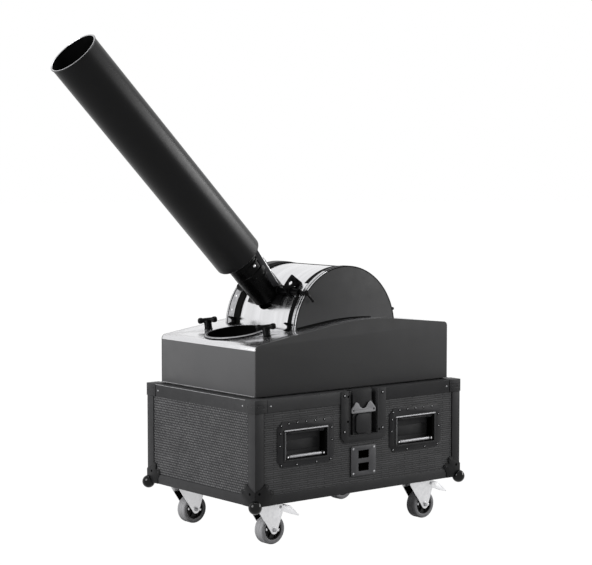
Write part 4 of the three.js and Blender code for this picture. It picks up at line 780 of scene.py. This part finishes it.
def makeCheeks():
    centre = cx, cz = drum["centre"]
    seal, top = drum["seal"], drum["strip"]
    outer, lip = seal + top, top - 0.9
    for side, way, trimWide, sealWide in (("front", -1, 18, 19), ("rear", 1, 32, 24)):
        def inward(depth):  # from the cheek's outer face
            return way * (drum["face"] - depth)

        def ring(points, finish, start=-6, sweep=192):  # points are (height over the seal's foot, depth)
            points = [(seal + h, inward(d)) for h, d in points]
            return smooth(drumSolid(points, finish, sweep, start, round(sweep / 3)), 35)

        def bored(piece):  # the round hole for the drum's stub
            hole = roundBar("y", centre, drum["stubHole"], inward(14), inward(-5), "inside", 40)
            return smooth(cutOut(piece, hole))

        disc = circle(outer - 1.6, 0, 180, 72, centre) + [(cx - outer + 1.6, 304), (cx + outer - 1.6, 304)]
        whole = [bored(soften(plate(disc, "y", inward(0), inward(2), "housingSide")))]
        # a painted shadow along the cheek's foot, thinner towards the back
        start, end = drum["seam"]
        rise = math.tan(math.radians(housing["ramp"]))
        line = [(start, housing["rampZ"] + rise * (start - housing["rampX"]))]
        line += [(u, v) for u, v in topLine() if start < u < end]
        bead = [(u, v - 4) for u, v in line]
        bead += [(u, v + 1 + 4 * (end - u) / (end - start)) for u, v in reversed(line)]
        whole.append(plate(bead, "y", inward(0.2), inward(-0.5), "band"))
        # a rolled strip: a round bead, a dark groove and a wide flat bead; it is bright on the barrel's side
        # and black over the rest: painted highlight and painted shade on what is one strip
        paintedShineStart = 112 if way < 0 else 132
        for finish, start, sweep in (("trim", paintedShineStart, 186 - paintedShineStart), ("pressing", -6, paintedShineStart + 6)):
            bead = [(0, 0.2), (top - 0.8, 0), (top, 1), (top, 4.2), (lip, 5), (0, 5)]
            wideBead = [(0, 9), (lip, 9), (top, 9.8), (top, trimWide - 1), (lip, trimWide), (0, trimWide)]
            wide = "dullZinc" if finish == "trim" and way > 0 else finish
            whole += [ring(bead, finish, start, sweep), ring(wideBead, wide, start, sweep)]
        edge = trimWide + sealWide
        groove = [(0, 5), (1.7, 5), (1.7, 9), (0, 9)]
        rim = [(1, -0.5), (2.9, -0.5), (2.9, 0.6), (1, 0.6)]
        band = [(0, trimWide), (2, trimWide), (2, edge - 0.6), (1.4, edge), (0, edge)]
        whole += [ring(points, "band") for points in (groove, rim, band)]
        if way > 0:  # the far strip is riveted to its cheek
            for angle in range(138, 182, 13):
                u, v = polar(outer, angle, centre)
                whole.append(moved(rivetHead("z", 1, radius=2.4), (u, inward(20), v), (0, 90 - angle, 0)))
        # the stub's collar inside the plate
        whole.append(bored(roundBar("y", centre, 26, inward(1), inward(6), "housingSide", 40)))
        if way < 0:  # the stop knob on the rim
            knob = [(0, seal + 1), (4, seal + 1), (4, seal + 9.4), (3.2, seal + 10.6), (0, seal + 10.6)]
            knob = smooth(spun(knob, "z", (0, 0), "hub", 20))
            whole.append(moved(knob, (cx, inward(4.5), cz), (0, 90 - 16.6, 0)))
        # the foot bracket of the band, at its lower end on the port's side
        foot = ((-0.2, 418), (-18, 417.6), (-20, 420), (-8, 425), (-8, 430), (-20, 438), (-15, 440), (-0.2, 436))
        foot = shifted(foot, cx - seal, 0)
        whole.append(soften(plate(foot, "y", inward(trimWide), inward(trimWide + sealWide / 2), "band")))
        finished(fuse(*whole), f"{side}_cheek_dressed", "case", "grey_sheet", f"{side}_drum_cheek")
    print("cheeks made")


def tilted(piece):  # turns a piece made level, with the barrel along -X, up to the barrel's elevation
    cx, cz = drum["centre"]
    return moved(piece, (cx, 0, cz), (0, drum["elevation"], 0))


def makeDrum():
    centre = cx, cz = drum["centre"]
    r0, r1 = drum["skin"]
    half = drum["half"]

    def hoop(low, high, y0, y1, finish, sweep, start, steps):  # of an oblong section
        return drumSolid([(low, y0), (high, y0), (high, y1), (low, y1)], finish, sweep, start, steps)

    skin = drumSolid([(r0, -half), (r1 - 0.5, -half), (r1, -half + 0.5), (r1, half - 0.5), (r1 - 0.5, half),
                      (r0, half)], "skin", drum["sweep"], drum["from"], 130)
    tool = [(0, -200), (drum["hole"], -200), (drum["hole"], 0), (0, 0)]
    skin = cutOut(skin, tilted(spun(tool, "x", (0, -drum["offset"]), "inside", 48)))
    # a black strip along the skin near its top, a painted dark reflection, which outlines the drum's top
    whole = [smooth(skin), hoop(r1 - 0.4, r1 + 2.2, -108, 89, "pressing", 6, 76, 6)]
    middle = drum["from"] + drum["sweep"] / 2
    for way in (-1, 1):
        rim, foot = way * half, way * (half - 3)
        for angle in (-112, 0, 112):
            arm = soften(block((0, rim, -15), (r0 + 1, foot, 15), "skin"), 0.6)
            whole.append(moved(arm, (cx, 0, cz), (0, -(middle + angle), 0)))
        whole.append(smooth(roundBar("y", centre, 26, rim, foot, "skin", 40)))
        whole.append(smooth(roundBar("y", centre, 14, way * 150, way * (half - 14), "dullZinc", 40)))
    # the shoes that cover the gap beside the bands, near the saddle
    arc = (14, 177 - drum["elevation"], 16)
    for edge, wide, way in ((111, 18.2, -1), (92, 23.2, 1)):
        near = way * (edge - 5.8)
        whole.append(soften(hoop(170.7, 172.1, near, way * (edge + wide), "skin", *arc), 0.4))
        whole.append(hoop(165.5, 171, near, way * (edge - 1.1), "skin", *arc))
    finished(fuse(*whole), "drumDressed", "barrel_assembly", "silver_sheet", "drum_shell")
    print("drum made")


# the barrel, made level along -X
barrel = {"base": -307, "length": 708, "radius": 66, "neck": 64.4, "bore": 61.9, "airway": 40, "cornerRound": 6,
          "screws": 54}


def makeBarrel():
    b = barrel
    near = b["base"]
    far = near - b["length"]
    outer, neck, inner, airway, turn = b["radius"], b["neck"], b["bore"], b["airway"], b["cornerRound"]
    centre = (0, -drum["offset"])
    shells = (
        ("barrel", 40, [(airway, near), (57, near)] + circle(turn, 80, 0, 4, (neck - turn, near - turn)) +
         [(neck, far + 4), (65.4, far + 3.2), (outer, far + 2), (outer, far + 0.9), (65.4, far + 0.25), (65, far)]),
        ("trim", 50, [(65.4, far + 0.25), (64.9, far), (62.6, far), (inner, far + 0.7)]),
        ("inside", 40, [(inner, far + 0.7), (inner, near - 5), (airway, near - 5), (airway, near)]),
    )
    whole = fuse(*[smooth(spun(shape, "x", centre, finish, 96), a) for finish, a, shape in shells])
    pickUp(whole)
    setOutwards(0.6)
    # six cap screws hold the base plate
    screw = smooth(spun([(0, 0), (3, 0), (3, 2.6), (2.4, 3.2), (0, 3.2)], "x", (0, 0), "gloss", 16))
    screws = scattered(screw, [(near - 0.4, *polar(b["screws"], 60 * i, centre)) for i in range(6)])
    finished(tilted(fuse(whole, screws)), "barrelDressed", "barrel_assembly", "barrel_black", "barrel")
    print("barrel made")


# the saddle that carries the barrel, made level
saddle = {"end": -306.7, "tube": (40, 44), "skin": 167.3, "pad": (175.3, 66), "bar": (176.3, 188, 10, 128),
          "ear": 95, "slots": ((193, 183.4), (176, 184.6))}


def makeSaddle():
    end, skin, ear = saddle["end"], saddle["skin"], saddle["ear"]
    z = -drum["offset"]

    def clear(piece):  # keeps one closed shell at a time out of the drum's skin
        return smooth(cutOut(piece, roundBar("y", (0, 0), skin + 0.05, -160, 160, "gloss", 128, 0.1)))

    inner, outer = saddle["tube"]
    tube = [(inner, end), (outer, end), (outer, -170), (inner, -170), (inner, end)]
    whole = [clear(spun(tube, "x", (0, z), "gloss", 56))]
    for r, start, wide in ((47.5, end, 11), (46, end + 18, 5), (47, end + 44, 14), (46, end + 66, 5)):
        stop = start + wide
        profile = [(43, start), (r - 0.8, start), (r, start + 0.8), (r, stop - 0.8), (r - 0.8, stop), (43, stop),
                   (43, start)]
        whole.append(smooth(spun(profile, "x", (0, z + 3), "gloss", 56)))
    # bright bolt heads on the clamp, on the side that faces the camera
    for a in (-82, 98):
        head = rivetHead("z", 1, "zinc", 4.2, 2.4, (0, 0, 47))
        whole.append(moved(head, (end + 26, 0, z + 3), (a, 0, 0)))
    top, half = saddle["pad"]
    pad = circle(top, 182, 201.3, 24) + circle(skin, 201.3, 182, 24)
    whole.append(soften(plate(pad, "y", -half, half, "gloss"), 1))
    reach, angle, radius, half = saddle["bar"]
    place = bx, bz = polar(reach, angle)
    bar = clear(roundBar("y", place, radius, -half, half, "gloss", 40, 2))
    sleeves = [clear(roundBar("y", place, radius + 2.6, w - 7, w + 7, "gloss", 40, 1.5)) for w in (-40, 40)]
    ears = []
    for y in (-ear, ear):
        blank = plate(circle(skin + 38, 178, 190, 10) + circle(skin, 194, 175, 8), "y", y - 3, y + 3, "gloss")
        slots = []
        for r, a in saddle["slots"]:
            u, v = polar(r, a)
            slots.append(moved(plate(roundedBox(-4, 4, -7.5, 7.5, 3.9), "y", -6, 6, "gloss"), (u, y, v), (0, 20, 0)))
        ears.append(soften(cutOut(blank, *slots), 0.8))
        # the boss where the bar passes through the ear
        ears.append(smooth(roundBar("y", place, radius + 4, y - 5.5, y + 5.5, "gloss", 40, 1)))
    strut = plate([(end + 5, 1), (end + 5, -15), (-197, -32), (-189, -27), (-189, -14)], "y", -44, -37, "strut")
    # a bright zinc strip along the strut's upper edge, a painted highlight
    edge = plate([(end + 5.5, 1.8), (end + 5.5, -0.4), (-189.5, -15.4), (-189.5, -13.2)], "y", -44.4, -40, "zinc")
    pin = smooth(roundBar("y", place, 4, -160, -100, "gloss", 24))
    whole = fuse(bar, *sleeves, pin, *ears, soften(strut, 1.2, 3), soften(edge, 0.4), *whole)
    finished(tilted(whole), "saddleDressed", "barrel_assembly", "barrel_black", "barrel_saddle")
    # the lock lever: a boss on the bar's end and a thin handle with a round tip
    boss = smooth(roundBar("y", place, 7, -160, -152, "gloss", 32, 1.2))
    cap = rivetHead("y", -1, "gloss", 5, 2, (bx, -160, bz))
    grip = ((0, 0), (3, 0), (3, 26), (3.8, 28), (3.8, 32), (3, 33), (0, 33))
    grip = smooth(spun([(r, bx + a) for r, a in grip], "x", (-156, bz), "gloss", 20))
    finished(tilted(fuse(boss, cap, grip)), "lockLeverDressed", "lock_lever", "barrel_black", "lock_lever")
    print("saddle and lock lever made")


# the filling port: made upright at the origin, then set square to the ramp
port = {"x": -234, "z": 407.23, "tilt": 8.3, "hole": 71, "ring": 78.5, "height": 5.3, "sheet": 2.4,
        "screw": (7, 125), "screwTurn": 50}


def onRamp(piece):
    return moved(piece, (port["x"], 0, port["z"]), (0, -port["tilt"], 0))


def makePort():
    hole, ring, top = port["hole"], port["ring"], port["height"]
    middle, under, back = ring - 3, top - port["sheet"], hole + 2
    # the ring is black gloss with a light zinc band round its top edge, a painted highlight
    shells = (
        ("gripZinc", 30, [(middle, top), (ring - 1.2, top), (ring, top - 1.2), (ring, under), (middle, under),
                          (middle, top)]),
        ("gloss", 30, [(hole, top - 0.8), (hole + 0.8, top), (middle, top), (middle, under), (back, under),
                       (hole, top - 0.8)]),
        ("gloss", 32, [(ring - 0.6, under), (ring - 0.6, 0.3), (back, 0.3), (back, under), (ring - 0.6, under)]),
        ("inside", 32, [(hole, top - 0.9), (hole, -16), (27, -98), (29, -98), (back, -16.5), (back, under)]),
    )
    whole = onRamp(fuse(*[smooth(spun(profile, "z", (0, 0), finish, 96), a) for finish, a, profile in shells]))
    # the chute is the CAD one's lower part, lined black
    tool = onRamp(spun([(0, -97), (120, -97), (120, 60), (0, 60)], "z", (0, 0), "inside", 48))
    chute = cutOut(fromSolid("hopper", "inside", 0.3), tool)
    finished(fuse(whole, chute), "hopperDressed", "case", "silver_sheet", "hopper")
    # T-screws: a flared stem with flutes, a cross bar with round ends
    stem = spun([(0, -12), (4, -12), (4, 0.3), (11, 0.3), (11, 1.8), (10, 2.6), (10, 13), (10.6, 19), (11.4, 23.2),
                 (10.6, 24.4), (0, 25)], "z", (0, 0), "gloss", 48)
    flutes = [roundBar("z", polar(11.2, 45 * i), 2, 3.5, 21, "gloss", 12) for i in range(8)]
    stem = smooth(cutOut(stem, *flutes), 35)
    half = [(6.4, 12.6), (7.4, 14), (8.2, 18.5), (7.4, 22.8), (4.6, 25.4), (0, 26)]
    bar = spun(mirrored(half), "y", (0, 24), "gloss", 32)
    screw = moved(fuse(stem, smooth(bar, 40)), turn=(0, 0, port["screwTurn"]))
    x, y = port["screw"]
    for side, way in sides.items():
        node = f"{side}_port_screw"
        finished(onRamp(copied(screw, (x, way * y, 0))), f"{node}_dressed", node, "barrel_black", node)
    discard(screw)
    print("port made")


def dressFan():  # hidden inside the case
    for node, finish in (("fan_scroll", "fanCoat"), ("fan_impeller", "fanZinc"), ("fan_motor", "motor")):
        paint(solids[node], finish)


dressCase()
makeCorners()
makeHandles()
makeLatches()
makeSocketPlate()
makeCasters()
makePedals()
makeHousing()
makeCheeks()
makeDrum()
makeBarrel()
makeSaddle()
makePort()
dressFan()


# 1 where a ray of one of these kinds looks, and 0 for the rest
def seenBy(tree, *kinds):
    rays = addNode(tree, "LightPath")
    seen = rays.outputs[kinds[0]]
    for kind in kinds[1:]:
        node = addNode(tree, "Math", links={0: seen, 1: rays.outputs[kind]}, operation="MAXIMUM")
        seen = node.outputs["Value"]
    return seen


def mixShaders(tree, share, first, second, output):
    mixed = addNode(tree, "MixShader", links={0: share, 1: first, 2: second})
    addNode(tree, output, links={"Surface": mixed.outputs["Shader"]})


studio = {"size": 60, "floorZ": -112.6, "paint": "8c8c8c", "glow": 1.12, "glowShare": 0.9, "dim": 0.16, "white": 1.0}

# a pale floor under the wheels
pickUp()
bpy.ops.mesh.primitive_plane_add(size=studio["size"], location=(0, 0, studio["floorZ"] * mm))
floor = bpy.context.object
floor.name = "studioFloor"
floorPaint = bpy.data.materials.new("palePaintedFloor")
tree = freshTree(floorPaint)
coat = addNode(tree, "BsdfDiffuse", {"Color": hexColour(studio["paint"])}).outputs["BSDF"]
glow = addNode(tree, "Emission", {"Color": hexColour("ffffff"), "Strength": studio["glow"]})
share = addNode(tree, "Math", {1: studio["glowShare"]}, {0: seenBy(tree, "Is Camera Ray", "Is Glossy Ray")},
                operation="MULTIPLY")
mixShaders(tree, share.outputs["Value"], coat, glow.outputs["Emission"], "OutputMaterial")
floor.data.materials.append(floorPaint)

# the world: white where the camera, a gloss or glass sees it, a soft grey where it lights the object
world = bpy.data.worlds.new("paleStudio")
scene.world = world
tree = freshTree(world)
dim, white = [addNode(tree, "Background", {"Color": hexColour("ffffff"), "Strength": studio[key]})
              for key in ("dim", "white")]
mixShaders(tree, seenBy(tree, "Is Camera Ray", "Is Glossy Ray", "Is Transmission Ray"), dim.outputs["Background"],
           white.outputs["Background"], "OutputWorld")

# soft lamps, each aimed at the middle of the blower
lamps = {
    "leftSoftbox": {"way": (-0.9, 0.03, 0.42), "distance": 3.6, "size": (2.0, 2.0), "watts": 140},
    # a long narrow box on the right lights the long side and draws the soft band along the barrel
    "stripBox": {"way": (0.868, -0.41, 0.286), "distance": 4.2, "size": (3.2, 0.9), "watts": 116,
                 "along": (0.32, 0.894, 0.313)},
    "topSoftbox": {"way": (0.1, 0.15, 1), "distance": 3.4, "size": (1.8, 1.8), "watts": 45},
}
aim = Vector((-0.1, 0, 0.45))
for name, lamp in lamps.items():
    data = bpy.data.lights.new(name, "AREA")
    data.shape = "RECTANGLE"
    data.size, data.size_y = lamp["size"]
    data.energy = lamp["watts"]
    light = bpy.data.objects.new(name, data)
    scene.collection.objects.link(light)
    way = Vector(lamp["way"]).normalized()
    light.location = aim + way * lamp["distance"]
    across = way.cross(Vector(lamp.get("along", (-way.y, way.x, 0)))).normalized()
    light.rotation_euler = Matrix((across.cross(way), across, way)).transposed().to_euler()
print("floor, world and lamps made")
